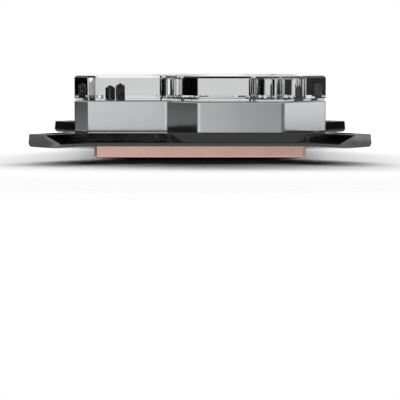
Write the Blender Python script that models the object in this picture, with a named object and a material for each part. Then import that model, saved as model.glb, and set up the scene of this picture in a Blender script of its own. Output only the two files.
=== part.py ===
"""CPU water block: copper cold plate, pressed bracket, plated body frame and clear ported cover.

The block stands on its copper face. The origin is the centre of that face, +Z points up through the
stack, +X is to the right of someone who faces the block, and +Y points away from them.
"""
import math

import bmesh
import bpy
from mathutils import Matrix, Vector

MM = 0.001

# Stack, upwards from the copper face, in millimetres
SEAT_GAP = 0.25
COPPER_SLAB_H = 5.95
BRACKET_SHEET = 1.6
BODY_H = 9.4
COVER_H = 7.75

# Body and cover outline
BLOCK_HALF_X = 40.1
BACK_Y = 24.0
RECESS_Y = -24.0
NOSE_Y = -34.1
NOSE_WIDTH = 26.3
NOSE_FACET_RUN = 14.3
CORNER_CUT = 4.8
EDGE_RADIUS = 0.9
COVER_CHAMFER = 0.6
BODY_CHAMFER = 0.25

# Cold plate
COPPER_SIDE_INSET = 6.85
COPPER_Y = 56.0
COPPER_CORNER_CUT = 0.9
ISLAND_STAND = 0.9
ISLAND_CORNER_R = 4.0
LEDGE_WIDTH = 3.9
FIN_ROOM = 1.6
FIN_FIELD_INSET = 16.75
FIN_FIELD_Y = 22.0
FIN_PITCH = 1.1
FIN_WIDTH = 0.55
FIN_H = 3.6

# Bracket outline, one quarter
RIM_ROOM = 12.6
RIM_CORNER_ROOM = 0.05
ARM_RIM_RUN = Vector((8.4, 7.6))
ARM_STEP_RUN = Vector((5.66, -4.0))
ARM_END_RUN = Vector((5.14, -5.14))
FLANK_ROOM = 1.15
SKIRT_RUN = 6.3
SKIRT_DROP = 2.55
RIM_LAND = 1.1
SKIRT_INNER_RUN = 2.2
RIM_UNDERCUT = 2.2
FLANK_LAND = 0.7
FLANK_UNDERCUT = 0.9
SLOT_WIDTH = 4.2
SLOT_LENGTH = 9.0
SLOT_INSET = 4.4
SLOT_FROM_TIP = 8.0

# Flow parts
PORT_1_FROM_NOSE = 6.0
PORT_2_FROM_NOSE = 3.7
PORT_Y = -9.0
PORT_BORE_R = 6.5
PORT_SEAT_R = 9.6
PORT_SEAT_DEPTH = 0.8
CAVITY_SHELF = 6.8
CAVITY_SHELF_Y = 2.2
CAVITY_CORNER_R = 3.0
PORT_WALL = 0.3
JET_PLATE_H = 0.6
JET_SLOT_INSET = 4.5
JET_SLOT_Y = 1.6
JET_SLOT_CORNER_R = 0.7
INSERT_WALL = 2.2
INSERT_LIP = 0.5
INSERT_FLOOR = 0.8
RETURN_RUN = 4.0
RETURN_EDGE = 0.8

# Seals
GROOVE_DEPTH = 1.3
GROOVE_WIDTH = 1.7
SEAL_GAP = 0.15
COVER_SEAL_WALL = 0.85

# Screws
SCREW_R = 1.5
SCREW_HEAD_R = 2.9
SCREW_HEAD_H = 1.6
SCREW_CLEARANCE = 0.25
SCREW_SOCKET_R = 1.1
SCREW_SOCKET_DEPTH = 1.1
HEAD_SINK = 0.35
COVER_SCREW_NEAR_INSET = 11.6
COVER_SCREW_FAR_INSET = 13.3
COVER_SCREW_EDGE = 4.2
COVER_HOLE_DEPTH = 3.9
BASE_SCREW_SIDE_EDGE = 3.5
BASE_SCREW_SIDE_Y = 7.0
BASE_SCREW_END_X = 10.0
BASE_SCREW_END_EDGE = 3.4
BASE_SCREW_BITE = 6.0
DRILL_HALF_ANGLE = math.radians(59.0)
DRILL_TIP_R = 0.15

ROUND_STEPS = 16
PORT_STEPS = 40

# Levels that follow from the stack
COPPER_TOP = COPPER_SLAB_H
BRACKET_UNDER = COPPER_TOP + SEAT_GAP
BRACKET_TOP = BRACKET_UNDER + BRACKET_SHEET
BRACKET_RIM_TOP = BRACKET_TOP - SKIRT_DROP
BRACKET_RIM_BOTTOM = BRACKET_RIM_TOP - RIM_LAND
BODY_BOTTOM = BRACKET_TOP + SEAT_GAP
BODY_TOP = BODY_BOTTOM + BODY_H
COVER_BOTTOM = BODY_TOP + SEAT_GAP
COVER_TOP = COVER_BOTTOM + COVER_H
ISLAND_TOP = BODY_BOTTOM + ISLAND_STAND
LEDGE_BOTTOM = ISLAND_TOP + SEAT_GAP
FIN_TOP = ISLAND_TOP + FIN_H
LEDGE_TOP = FIN_TOP
JET_PLATE_BOTTOM = FIN_TOP + SEAT_GAP
JET_PLATE_TOP = JET_PLATE_BOTTOM + JET_PLATE_H
INSERT_BOTTOM = JET_PLATE_TOP + SEAT_GAP
INSERT_TOP = BODY_TOP - SEAT_GAP
OVERCUT = 1.0

# Plan sizes that follow from the block's width, inwards
NOSE_RIGHT_X = BLOCK_HALF_X - NOSE_FACET_RUN
NOSE_LEFT_X = NOSE_RIGHT_X - NOSE_WIDTH
PORT_X = (NOSE_LEFT_X - PORT_1_FROM_NOSE, NOSE_RIGHT_X - PORT_2_FROM_NOSE)
COPPER_X = 2 * (BLOCK_HALF_X - COPPER_SIDE_INSET)
FIN_FIELD_X = COPPER_X - 2 * FIN_FIELD_INSET
JET_SLOT_X = FIN_FIELD_X - 2 * JET_SLOT_INSET

# Bracket points that follow from the copper, outwards
FLANK_HALF_X = COPPER_X / 2 + FLANK_ROOM + BRACKET_SHEET
RIM_HALF_Y = COPPER_Y / 2 + RIM_ROOM
RIM_CORNER = Vector((COPPER_X / 2 + RIM_CORNER_ROOM, RIM_HALF_Y))
ARM_RIM_TIP = RIM_CORNER + ARM_RIM_RUN
ARM_STEP = ARM_RIM_TIP + ARM_STEP_RUN
ARM_TIP = ARM_STEP + ARM_END_RUN

# Plan sizes that follow from the fins, outwards
THROAT_X = FIN_FIELD_X + 2 * FIN_ROOM
THROAT_Y = FIN_FIELD_Y + 2 * FIN_ROOM
ISLAND_X = THROAT_X + 2 * LEDGE_WIDTH
ISLAND_Y = THROAT_Y + 2 * LEDGE_WIDTH
CAVITY_X = THROAT_X + 2 * CAVITY_SHELF
CAVITY_Y = THROAT_Y + 2 * CAVITY_SHELF_Y
SEAL_R = (GROOVE_DEPTH + SEAT_GAP) / 2 - SEAL_GAP

X_AXIS = Vector((1.0, 0.0))
Y_AXIS = Vector((0.0, 1.0))
QUADRANTS = ((1, 1), (-1, 1), (-1, -1), (1, -1))


def clear_scene():
    """Remove whatever the scene holds."""
    for obj in list(bpy.data.objects):
        bpy.data.objects.remove(obj, do_unlink=True)


def make_material(name, color, roughness, metallic, alpha=1.0, transmission=0.0):
    """Return a Principled material with the part's own finish."""
    material = bpy.data.materials.new(name)
    material.use_nodes = True
    shader = material.node_tree.nodes["Principled BSDF"]
    shader.inputs["Base Color"].default_value = (*color, 1.0)
    shader.inputs["Roughness"].default_value = roughness
    shader.inputs["Metallic"].default_value = metallic
    shader.inputs["Alpha"].default_value = alpha
    shader.inputs["Transmission Weight"].default_value = transmission
    return material


def add_object(name, bm, material):
    """Turn a bmesh in millimetres into a named object in metres, with its faces out."""
    bmesh.ops.recalc_face_normals(bm, faces=bm.faces)
    bmesh.ops.transform(bm, matrix=Matrix.Scale(MM, 4), verts=bm.verts)
    mesh = bpy.data.meshes.new(name)
    bm.to_mesh(mesh)
    bm.free()
    obj = bpy.data.objects.new(name, mesh)
    bpy.context.scene.collection.objects.link(obj)
    if material is not None:
        mesh.materials.append(material)
    return obj


def loft(levels):
    """Skin closed loops of equal length, given as (points, z) from bottom to top."""
    bm = bmesh.new()
    rings = [[bm.verts.new((x, y, z)) for x, y in points] for points, z in levels]
    for low, high in zip(rings, rings[1:]):
        for i in range(len(low)):
            j = (i + 1) % len(low)
            bm.faces.new((low[i], low[j], high[j], high[i]))
    bm.faces.new(list(reversed(rings[0])))
    bm.faces.new(rings[-1])
    return bm


def prism(points, z_low, z_high):
    """Extrude a closed outline between two levels."""
    return loft([(points, z_low), (points, z_high)])


def circle(cx, cy, radius, steps=ROUND_STEPS):
    """Points of a circle, anticlockwise."""
    return [(cx + radius * math.cos(2 * math.pi * i / steps),
             cy + radius * math.sin(2 * math.pi * i / steps)) for i in range(steps)]


def fillet(points, radius, steps=3):
    """Round every corner of an anticlockwise outline with an arc of the given radius."""
    rounded = []
    count = len(points)
    for i in range(count):
        corner = Vector(points[i])
        back = (Vector(points[i - 1]) - corner).normalized()
        ahead = (Vector(points[(i + 1) % count]) - corner).normalized()
        half = back.angle(ahead) / 2
        reach = radius / math.tan(half)
        turn = math.pi - 2 * half
        side = 1.0 if back.cross(ahead) < 0 else -1.0
        start = corner + back * reach
        centre = start + Vector((back.y, -back.x)) * radius * side
        arm = start - centre
        for k in range(steps + 1):
            angle = side * turn * k / steps
            spun = Vector((arm.x * math.cos(angle) - arm.y * math.sin(angle),
                           arm.x * math.sin(angle) + arm.y * math.cos(angle)))
            rounded.append(tuple(centre + spun))
    return rounded


def rectangle(size_x, size_y, cx=0.0, cy=0.0):
    """Corners of a rectangle, anticlockwise."""
    half_x, half_y = size_x / 2, size_y / 2
    return [(cx - half_x, cy - half_y), (cx + half_x, cy - half_y),
            (cx + half_x, cy + half_y), (cx - half_x, cy + half_y)]


def rounded_rectangle(size_x, size_y, radius, cx=0.0, cy=0.0, steps=4):
    """A rectangle with arcs at its corners."""
    return fillet(rectangle(size_x, size_y, cx, cy), radius, steps)


def cut(target, name, bm):
    """Subtract a shape from an object with an exact Boolean and keep the cutter as a hidden guide."""
    cutter = add_object(name, bm, None)
    cutter.display_type = "WIRE"
    cutter.hide_render = True
    cutter.hide_viewport = True
    modifier = target.modifiers.new(name, "BOOLEAN")
    modifier.operation = "DIFFERENCE"
    modifier.solver = "EXACT"
    modifier.object = cutter


def join_shape(target, name, bm):
    """Unite a shape with an object."""
    cut(target, name, bm)
    target.modifiers[name].operation = "UNION"


def block_corners(inset=0.0):
    """Outline that body and cover share: a nose on the right of the front, cut corners elsewhere."""
    step = RECESS_Y - NOSE_Y
    half_x = BLOCK_HALF_X - inset
    back = BACK_Y - inset
    recess = RECESS_Y + inset
    nose = NOSE_Y + inset
    slant = inset * math.tan(math.radians(22.5))
    cut_leg = CORNER_CUT
    return [(-half_x, recess + cut_leg - inset + slant), (-half_x + cut_leg - inset + slant, recess),
            (NOSE_LEFT_X - step + slant, recess), (NOSE_LEFT_X + slant, nose),
            (NOSE_RIGHT_X - slant, nose), (half_x, NOSE_Y + NOSE_FACET_RUN + slant),
            (half_x, back - cut_leg + inset - slant), (half_x - cut_leg + inset - slant, back),
            (-half_x + cut_leg - inset + slant, back), (-half_x, back - cut_leg + inset - slant)]


def block_outline(inset=0.0):
    """The shared outline with its vertical edges rounded."""
    return fillet(block_corners(inset), EDGE_RADIUS)


def cover_screw_places():
    """Centres of the long screws, which reach from the copper face into the cover."""
    near = RECESS_Y + COVER_SCREW_EDGE
    far = BACK_Y - COVER_SCREW_EDGE
    near_x = BLOCK_HALF_X - COVER_SCREW_NEAR_INSET
    far_x = BLOCK_HALF_X - COVER_SCREW_FAR_INSET
    return [(-near_x, near), (near_x, near), (far_x, far), (-far_x, far)]


def base_screw_places():
    """Centres of the short screws, which end in the body frame."""
    side_x = COPPER_X / 2 - BASE_SCREW_SIDE_EDGE
    ends_y = (RECESS_Y + BASE_SCREW_END_EDGE, BACK_Y - BASE_SCREW_END_EDGE)
    sides = [(sx * side_x, sy * BASE_SCREW_SIDE_Y) for sx in (-1, 1) for sy in (-1, 1)]
    ends = [(sx * BASE_SCREW_END_X, y) for sx in (-1, 1) for y in ends_y]
    return sides + ends


def screw_places():
    """Centres of all screws."""
    return cover_screw_places() + base_screw_places()


def hole_shape(cx, cy, z_low, z_high, pointed=False):
    """A round hole for a screw, with a drill point where it is blind."""
    radius = SCREW_R + SCREW_CLEARANCE
    levels = [(circle(cx, cy, radius), z_low), (circle(cx, cy, radius), z_high)]
    if pointed:
        point = (radius - DRILL_TIP_R) / math.tan(DRILL_HALF_ANGLE)
        levels.append((circle(cx, cy, DRILL_TIP_R), z_high + point))
    return loft(levels)


def ring_seal(name, path, z, material, steps=8):
    """A closed seal ring of round section that follows a plan outline."""
    bm = bmesh.new()
    rings = []
    count = len(path)
    for i in range(count):
        here = Vector(path[i])
        tangent = (Vector(path[(i + 1) % count]) - Vector(path[i - 1])).normalized()
        normal = Vector((tangent.y, -tangent.x))
        ring = []
        for k in range(steps):
            angle = 2 * math.pi * k / steps
            spot = here + normal * SEAL_R * math.cos(angle)
            ring.append(bm.verts.new((spot.x, spot.y, z + SEAL_R * math.sin(angle))))
        rings.append(ring)
    for i in range(count):
        j = (i + 1) % count
        for k in range(steps):
            m = (k + 1) % steps
            bm.faces.new((rings[i][k], rings[i][m], rings[j][m], rings[j][k]))
    seal = add_object(name, bm, material)
    for polygon in seal.data.polygons:
        polygon.use_smooth = True
    return seal


def band(outer, inner, z_low, z_high):
    """A flat ring between two outlines of equal length, used to cut seal grooves."""
    bm = bmesh.new()
    count = len(outer)
    loops = [[bm.verts.new((x, y, z)) for x, y in points]
             for points, z in ((outer, z_low), (outer, z_high), (inner, z_high), (inner, z_low))]
    for a in range(4):
        b = (a + 1) % 4
        for i in range(count):
            j = (i + 1) % count
            bm.faces.new((loops[a][i], loops[a][j], loops[b][j], loops[b][i]))
    return bm


def meet(p, d, q, e):
    """Crossing of the line through p along d with the line through q along e."""
    t = (q - p).cross(e) / d.cross(e)
    return p + d * t


def bracket_quarter(skirt_inset, flank_inset):
    """Outline of one bracket quarter in the +X +Y quadrant, from the end edge to the flank.

    skirt_inset moves the end edge and the arm's skirted side inwards from the rim, and
    flank_inset moves the arm's other side and the flank inwards.
    """
    corner, skirt_point, arm = skirt_line(skirt_inset)
    flank_point, flank_side = flank_line(flank_inset)
    step_side = ARM_RIM_TIP - ARM_STEP
    return [corner, meet(skirt_point, arm, ARM_STEP, step_side), ARM_STEP,
            meet(flank_point, flank_side, ARM_TIP, ARM_STEP - ARM_TIP),
            meet(flank_point, flank_side, Vector((FLANK_HALF_X - flank_inset, 0.0)), Y_AXIS)]


def hollow_quarter(skirt_inset, flank_inset):
    """The same quarter for the hollow under the sheet, which stops a wall short of the arm's end."""
    corner, skirt_point, arm = skirt_line(skirt_inset)
    flank_point, flank_side = flank_line(flank_inset)
    end_wall = BRACKET_SHEET + (ARM_TIP - ARM_RIM_TIP).dot(flank_side)
    inner_end = ARM_TIP - flank_side * end_wall
    end_side = ARM_STEP - ARM_TIP
    return [corner, meet(skirt_point, arm, inner_end, end_side),
            meet(flank_point, flank_side, inner_end, end_side),
            meet(flank_point, flank_side, Vector((FLANK_HALF_X - flank_inset, 0.0)), Y_AXIS)]


def skirt_line(inset):
    """Corner, a point and the direction of the arm's skirted side, moved inwards by inset."""
    arm = ARM_RIM_RUN.normalized()
    point = RIM_CORNER + Vector((arm.y, -arm.x)) * inset
    corner = meet(Vector((0.0, RIM_HALF_Y - inset)), X_AXIS, point, arm)
    return corner, point, arm


def flank_line(inset):
    """A point and the direction of the arm's flanged side, moved inwards by inset."""
    side = Vector((1.0, 1.0)).normalized()
    return ARM_TIP + Vector((-side.y, side.x)) * inset, side


def four_quarters(quarter):
    """A closed anticlockwise outline from the quarter in the +X +Y quadrant."""
    loop = []
    for sx, sy in QUADRANTS:
        points = [(sx * p.x, sy * p.y) for p in quarter]
        loop += list(reversed(points)) if sx * sy > 0 else points
    return loop


def bracket_loop(skirt_inset, flank_inset):
    """The whole outline of the bracket's outside at one level."""
    return four_quarters(bracket_quarter(skirt_inset, flank_inset))


def hollow_loop(skirt_inset, flank_inset):
    """The whole outline of the hollow under the bracket at one level."""
    return four_quarters(hollow_quarter(skirt_inset, flank_inset))


def slot_outline():
    """A round-ended slot along the +X +Y arm, in plan."""
    along = Vector((1.0, 1.0)).normalized()
    across = Vector((-1.0, 1.0)).normalized()
    centre = ARM_TIP - along * SLOT_FROM_TIP + across * SLOT_INSET
    half = (SLOT_LENGTH - SLOT_WIDTH) / 2
    points = []
    half_turn = ROUND_STEPS // 2
    for end in (1, -1):
        for k in range(half_turn + 1):
            angle = math.radians(-90) + math.pi * k / half_turn
            spot = along * end * (half + SLOT_WIDTH / 2 * math.cos(angle))
            spot += across * end * SLOT_WIDTH / 2 * math.sin(angle)
            points.append(centre + spot)
    return points


def build_bracket(material):
    """Steel bracket: a flat top with sloping skirts, arms closed at their ends and an undercut rim."""
    flank_break = RIM_UNDERCUT * (RIM_LAND - FLANK_LAND) / RIM_LAND
    body = loft([(bracket_loop(RIM_UNDERCUT, FLANK_UNDERCUT), BRACKET_RIM_BOTTOM),
                 (bracket_loop(flank_break, 0.0), BRACKET_RIM_BOTTOM + FLANK_LAND),
                 (bracket_loop(0.0, 0.0), BRACKET_RIM_TOP),
                 (bracket_loop(SKIRT_RUN, 0.0), BRACKET_TOP)])
    bracket = add_object("mounting_bracket", body, material)
    inner_top = SKIRT_RUN + SKIRT_INNER_RUN
    fall = (inner_top - RIM_UNDERCUT) / (BRACKET_UNDER - BRACKET_RIM_BOTTOM)
    below = BRACKET_RIM_BOTTOM - OVERCUT / 2
    inner_low = RIM_UNDERCUT - fall * OVERCUT / 2
    hollow = loft([(hollow_loop(inner_low, BRACKET_SHEET), below),
                   (hollow_loop(inner_top, BRACKET_SHEET), BRACKET_UNDER)])
    cut(bracket, "bracket_hollow", hollow)
    window = rounded_rectangle(ISLAND_X + 2 * SEAT_GAP, ISLAND_Y + 2 * SEAT_GAP,
                               ISLAND_CORNER_R + SEAT_GAP)
    cut(bracket, "bracket_window", prism(window, BRACKET_UNDER - OVERCUT, BRACKET_TOP + OVERCUT))
    for n, (sx, sy) in enumerate(QUADRANTS, 1):
        points = [(sx * p.x, sy * p.y) for p in slot_outline()]
        if sx * sy < 0:
            points.reverse()
        cut(bracket, f"bracket_slot_{n}", prism(points, BRACKET_UNDER - OVERCUT, BRACKET_TOP + OVERCUT))
    for n, (x, y) in enumerate(screw_places(), 1):
        cut(bracket, f"bracket_hole_{n}",
            hole_shape(x, y, BRACKET_UNDER - OVERCUT, BRACKET_TOP + OVERCUT))
    return bracket


def fin_comb():
    """The fin field as one comb section, run along Y."""
    count = int(FIN_FIELD_X / FIN_PITCH)
    start = -(count - 1) * FIN_PITCH / 2 - FIN_WIDTH / 2
    root = ISLAND_TOP - OVERCUT
    profile = [(start, root)]
    for i in range(count):
        left = start + i * FIN_PITCH
        profile += [(left, ISLAND_TOP), (left, FIN_TOP), (left + FIN_WIDTH, FIN_TOP),
                    (left + FIN_WIDTH, ISLAND_TOP)]
    profile.append((profile[-1][0], root))
    bm = bmesh.new()
    half = FIN_FIELD_Y / 2
    near = [bm.verts.new((x, -half, z)) for x, z in profile]
    far = [bm.verts.new((x, half, z)) for x, z in profile]
    for i in range(len(profile)):
        j = (i + 1) % len(profile)
        bm.faces.new((near[i], near[j], far[j], far[i]))
    bm.faces.new(near)
    bm.faces.new(list(reversed(far)))
    return bm


def countersink(cx, cy):
    """Seat of a flat screw head in the copper face."""
    wide = SCREW_HEAD_R + SCREW_CLEARANCE
    narrow = SCREW_R + SCREW_CLEARANCE
    low = HEAD_SINK - SEAT_GAP / 2
    return loft([(circle(cx, cy, wide), -OVERCUT), (circle(cx, cy, wide), low),
                 (circle(cx, cy, narrow), low + SCREW_HEAD_H),
                 (circle(cx, cy, narrow), COPPER_TOP + OVERCUT)])


def build_cold_plate(material):
    """Copper cold plate: a slab, an island that passes the bracket, and a field of thin fins."""
    outline = chamfered_rectangle(COPPER_X, COPPER_Y, COPPER_CORNER_CUT)
    plate = add_object("cold_plate", prism(outline, 0.0, COPPER_TOP), material)
    island = rounded_rectangle(ISLAND_X, ISLAND_Y, ISLAND_CORNER_R)
    join_shape(plate, "plate_island", prism(island, COPPER_TOP - OVERCUT, ISLAND_TOP))
    join_shape(plate, "plate_fins", fin_comb())
    size_x, size_y, radius = island_seal_course()
    groove(plate, "plate_groove", size_x, size_y, radius, ISLAND_TOP)
    for n, (x, y) in enumerate(screw_places(), 1):
        cut(plate, f"plate_hole_{n}", countersink(x, y))
    return plate


def chamfered_rectangle(size_x, size_y, leg):
    """A rectangle with its corners cut at 45 degrees."""
    hx, hy = size_x / 2, size_y / 2
    return [(-hx + leg, -hy), (hx - leg, -hy), (hx, -hy + leg), (hx, hy - leg),
            (hx - leg, hy), (-hx + leg, hy), (-hx, hy - leg), (-hx, -hy + leg)]


def groove(target, name, size_x, size_y, radius, top, cx=0.0):
    """Cut a seal groove of rounded rectangular course into a flat face."""
    outer = rounded_rectangle(size_x + GROOVE_WIDTH, size_y + GROOVE_WIDTH,
                              radius + GROOVE_WIDTH / 2, cx)
    inner = rounded_rectangle(size_x - GROOVE_WIDTH, size_y - GROOVE_WIDTH,
                              radius - GROOVE_WIDTH / 2, cx)
    cut(target, name, band(outer, inner, top - GROOVE_DEPTH, top + OVERCUT))


def island_seal_course():
    """Size and corner radius of the seal's course, midway along the ledge round the fins."""
    return ISLAND_X - LEDGE_WIDTH, ISLAND_Y - LEDGE_WIDTH, ISLAND_CORNER_R - LEDGE_WIDTH / 2


def cover_seal_course():
    """Size, corner radius and centre of the seal's course, round the cavity and both ports."""
    room = COVER_SEAL_WALL + GROOVE_WIDTH / 2
    left = -CAVITY_X / 2 - room
    right = PORT_X[1] + PORT_BORE_R + PORT_WALL + room
    return right - left, CAVITY_Y + 2 * room, CAVITY_CORNER_R + room, (left + right) / 2


def build_body(material):
    """Plated body frame: the shared outline with a pocket for the insert and a throat for the fins."""
    levels = [(block_outline(BODY_CHAMFER), BODY_BOTTOM), (block_outline(), BODY_BOTTOM + BODY_CHAMFER),
              (block_outline(), BODY_TOP - BODY_CHAMFER), (block_outline(BODY_CHAMFER), BODY_TOP)]
    body = add_object("body_frame", loft(levels), material)
    recess = rounded_rectangle(ISLAND_X + 2 * SEAT_GAP, ISLAND_Y + 2 * SEAT_GAP,
                               ISLAND_CORNER_R + SEAT_GAP)
    cut(body, "body_recess", prism(recess, BODY_BOTTOM - OVERCUT, LEDGE_BOTTOM))
    throat = rounded_rectangle(THROAT_X, THROAT_Y, CAVITY_CORNER_R)
    cut(body, "body_throat", prism(throat, LEDGE_BOTTOM - OVERCUT / 2, LEDGE_TOP + OVERCUT / 2))
    cavity = rounded_rectangle(CAVITY_X, CAVITY_Y, CAVITY_CORNER_R)
    cut(body, "body_cavity", prism(cavity, LEDGE_TOP, BODY_TOP + OVERCUT))
    size_x, size_y, radius, centre_x = cover_seal_course()
    groove(body, "body_seal_groove", size_x, size_y, radius, BODY_TOP, centre_x)
    for n, (x, y) in enumerate(cover_screw_places(), 1):
        cut(body, f"body_long_hole_{n}", hole_shape(x, y, BODY_BOTTOM - OVERCUT, BODY_TOP + OVERCUT))
    for n, (x, y) in enumerate(base_screw_places(), 1):
        cut(body, f"body_short_hole_{n}",
            hole_shape(x, y, BODY_BOTTOM - OVERCUT, BODY_BOTTOM + BASE_SCREW_BITE, pointed=True))
    return body


def build_cover(material):
    """Clear cover: two threaded ports with seats, and blind holes for the long screws."""
    levels = [(block_outline(COVER_CHAMFER), COVER_BOTTOM), (block_outline(), COVER_BOTTOM + COVER_CHAMFER),
              (block_outline(), COVER_TOP - COVER_CHAMFER), (block_outline(COVER_CHAMFER), COVER_TOP)]
    cover = add_object("top_cover", loft(levels), material)
    for n, x in enumerate(PORT_X, 1):
        bore = circle(x, PORT_Y, PORT_BORE_R, PORT_STEPS)
        cut(cover, f"cover_port_{n}", prism(bore, COVER_BOTTOM - OVERCUT, COVER_TOP + OVERCUT))
        seat = circle(x, PORT_Y, PORT_SEAT_R, PORT_STEPS)
        cut(cover, f"cover_seat_{n}", prism(seat, COVER_TOP - PORT_SEAT_DEPTH, COVER_TOP + OVERCUT))
    for n, (x, y) in enumerate(cover_screw_places(), 1):
        cut(cover, f"cover_hole_{n}",
            hole_shape(x, y, COVER_BOTTOM - OVERCUT, COVER_BOTTOM + COVER_HOLE_DEPTH, pointed=True))
    return cover


def build_jet_plate(material):
    """Thin steel plate over the fins with one long slot across them."""
    size_x = CAVITY_X - 2 * SEAT_GAP
    size_y = CAVITY_Y - 2 * SEAT_GAP
    radius = CAVITY_CORNER_R - SEAT_GAP
    plate = add_object("jet_plate", prism(rounded_rectangle(size_x, size_y, radius),
                                          JET_PLATE_BOTTOM, JET_PLATE_TOP), material)
    slot = rounded_rectangle(JET_SLOT_X, JET_SLOT_Y, JET_SLOT_CORNER_R)
    cut(plate, "jet_slot", prism(slot, JET_PLATE_BOTTOM - OVERCUT, JET_PLATE_TOP + OVERCUT))
    cut_return_windows(plate, "jet_return", JET_PLATE_BOTTOM - OVERCUT, JET_PLATE_TOP + OVERCUT)
    return plate


def outlet_room():
    """Left and right edge and half depth of the outlet's room in the insert, beside the jet slot."""
    left = JET_SLOT_X / 2 + INSERT_WALL
    right = CAVITY_X / 2 - SEAT_GAP - INSERT_WALL
    return left, right, CAVITY_Y / 2 - SEAT_GAP - INSERT_WALL


def cut_return_windows(target, name, z_low, z_high):
    """Cut the two windows through which water comes up from the ends of the fins to the outlet."""
    left, _, half_y = outlet_room()
    size_x = THROAT_X / 2 - left - RETURN_EDGE
    middle_y = half_y - RETURN_EDGE - RETURN_RUN / 2
    for n, side in enumerate((-1, 1), 1):
        window = rounded_rectangle(size_x, RETURN_RUN, JET_SLOT_CORNER_R,
                                   THROAT_X / 2 - size_x / 2, side * middle_y)
        cut(target, f"{name}_{n}", prism(window, z_low, z_high))


def build_insert(material):
    """Moulded flow insert: a funnel from the inlet to the jet slot and a walled room to the outlet."""
    size_x = CAVITY_X - 2 * SEAT_GAP
    size_y = CAVITY_Y - 2 * SEAT_GAP
    radius = CAVITY_CORNER_R - SEAT_GAP
    insert = add_object("flow_insert", prism(rounded_rectangle(size_x, size_y, radius),
                                             INSERT_BOTTOM, INSERT_TOP), material)
    left, right, half_y = outlet_room()
    mouth = rounded_rectangle(right + left - INSERT_WALL, 2 * half_y, radius, (left - INSERT_WALL - right) / 2)
    throat = rounded_rectangle(JET_SLOT_X, JET_SLOT_Y, JET_SLOT_CORNER_R)
    cut(insert, "insert_funnel", loft([(throat, INSERT_BOTTOM - OVERCUT), (throat, INSERT_BOTTOM + INSERT_LIP),
                                       (mouth, INSERT_TOP), (mouth, INSERT_TOP + OVERCUT)]))
    outlet = rounded_rectangle(right - left, 2 * half_y, radius, (left + right) / 2)
    cut(insert, "insert_outlet", prism(outlet, INSERT_BOTTOM + INSERT_FLOOR, INSERT_TOP + OVERCUT))
    cut_return_windows(insert, "insert_return", INSERT_BOTTOM - OVERCUT,
                       INSERT_BOTTOM + INSERT_FLOOR + OVERCUT)
    return insert


def build_screw(name, x, y, tip_z, material):
    """Flat-head screw driven upwards from the copper face, with a hexagon socket."""
    low = HEAD_SINK
    levels = [(circle(x, y, SCREW_HEAD_R), low), (circle(x, y, SCREW_R), low + SCREW_HEAD_H),
              (circle(x, y, SCREW_R), tip_z - SCREW_R / 2), (circle(x, y, SCREW_R / 2), tip_z)]
    screw = add_object(name, loft(levels), material)
    socket = circle(x, y, SCREW_SOCKET_R, 6)
    cut(screw, f"{name}_socket", prism(socket, low - OVERCUT, low + SCREW_SOCKET_DEPTH))
    return screw


def main():
    """Build every piece of the block, from the copper face upwards."""
    clear_scene()
    copper = make_material("copper", (0.72, 0.45, 0.38), 0.35, 1.0)
    black_steel = make_material("black_steel", (0.02, 0.02, 0.022), 0.35, 0.0)
    plated = make_material("satin_plated_metal", (0.68, 0.69, 0.70), 0.3, 1.0)
    clear = make_material("clear_acrylic", (0.9, 0.92, 0.94), 0.05, 0.0, 0.4, 1.0)
    seal_rubber = make_material("seal_rubber", (0.015, 0.015, 0.015), 0.7, 0.0)
    steel = make_material("stainless_steel", (0.6, 0.6, 0.6), 0.3, 1.0)
    moulded = make_material("moulded_plastic", (0.03, 0.03, 0.03), 0.5, 0.0)
    screw_steel = make_material("screw_steel", (0.5, 0.5, 0.5), 0.3, 1.0)

    build_cold_plate(copper)
    size_x, size_y, radius = island_seal_course()
    ring_seal("cold_plate_seal", rounded_rectangle(size_x, size_y, radius),
              ISLAND_TOP - GROOVE_DEPTH + SEAL_GAP + SEAL_R, seal_rubber)
    build_bracket(black_steel)
    build_body(plated)
    build_jet_plate(steel)
    build_insert(moulded)
    size_x, size_y, radius, centre_x = cover_seal_course()
    ring_seal("cover_seal", rounded_rectangle(size_x, size_y, radius, centre_x),
              BODY_TOP - GROOVE_DEPTH + SEAL_GAP + SEAL_R, seal_rubber)
    build_cover(clear)
    for n, (x, y) in enumerate(cover_screw_places(), 1):
        build_screw(f"cover_screw_{n}", x, y, COVER_BOTTOM + COVER_HOLE_DEPTH - SEAT_GAP, screw_steel)
    for n, (x, y) in enumerate(base_screw_places(), 1):
        build_screw(f"base_screw_{n}", x, y, BODY_BOTTOM + BASE_SCREW_BITE - SEAT_GAP, screw_steel)


main()
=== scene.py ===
"""Dressed model of a processor water block, in the studio that it is shown in.

The block is a copper cold plate under a folded black bracket, a satin plated frame, and a clear cover with
two ports. Sizes are in millimetres in the classes and in metres in the meshes, with +Z up from the copper
face and -Y towards someone who faces the block.
"""
import logging
import math
from collections.abc import Callable, Sequence
from dataclasses import dataclass
from enum import Enum

import bmesh
import bpy
from mathutils import Matrix, Vector

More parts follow.
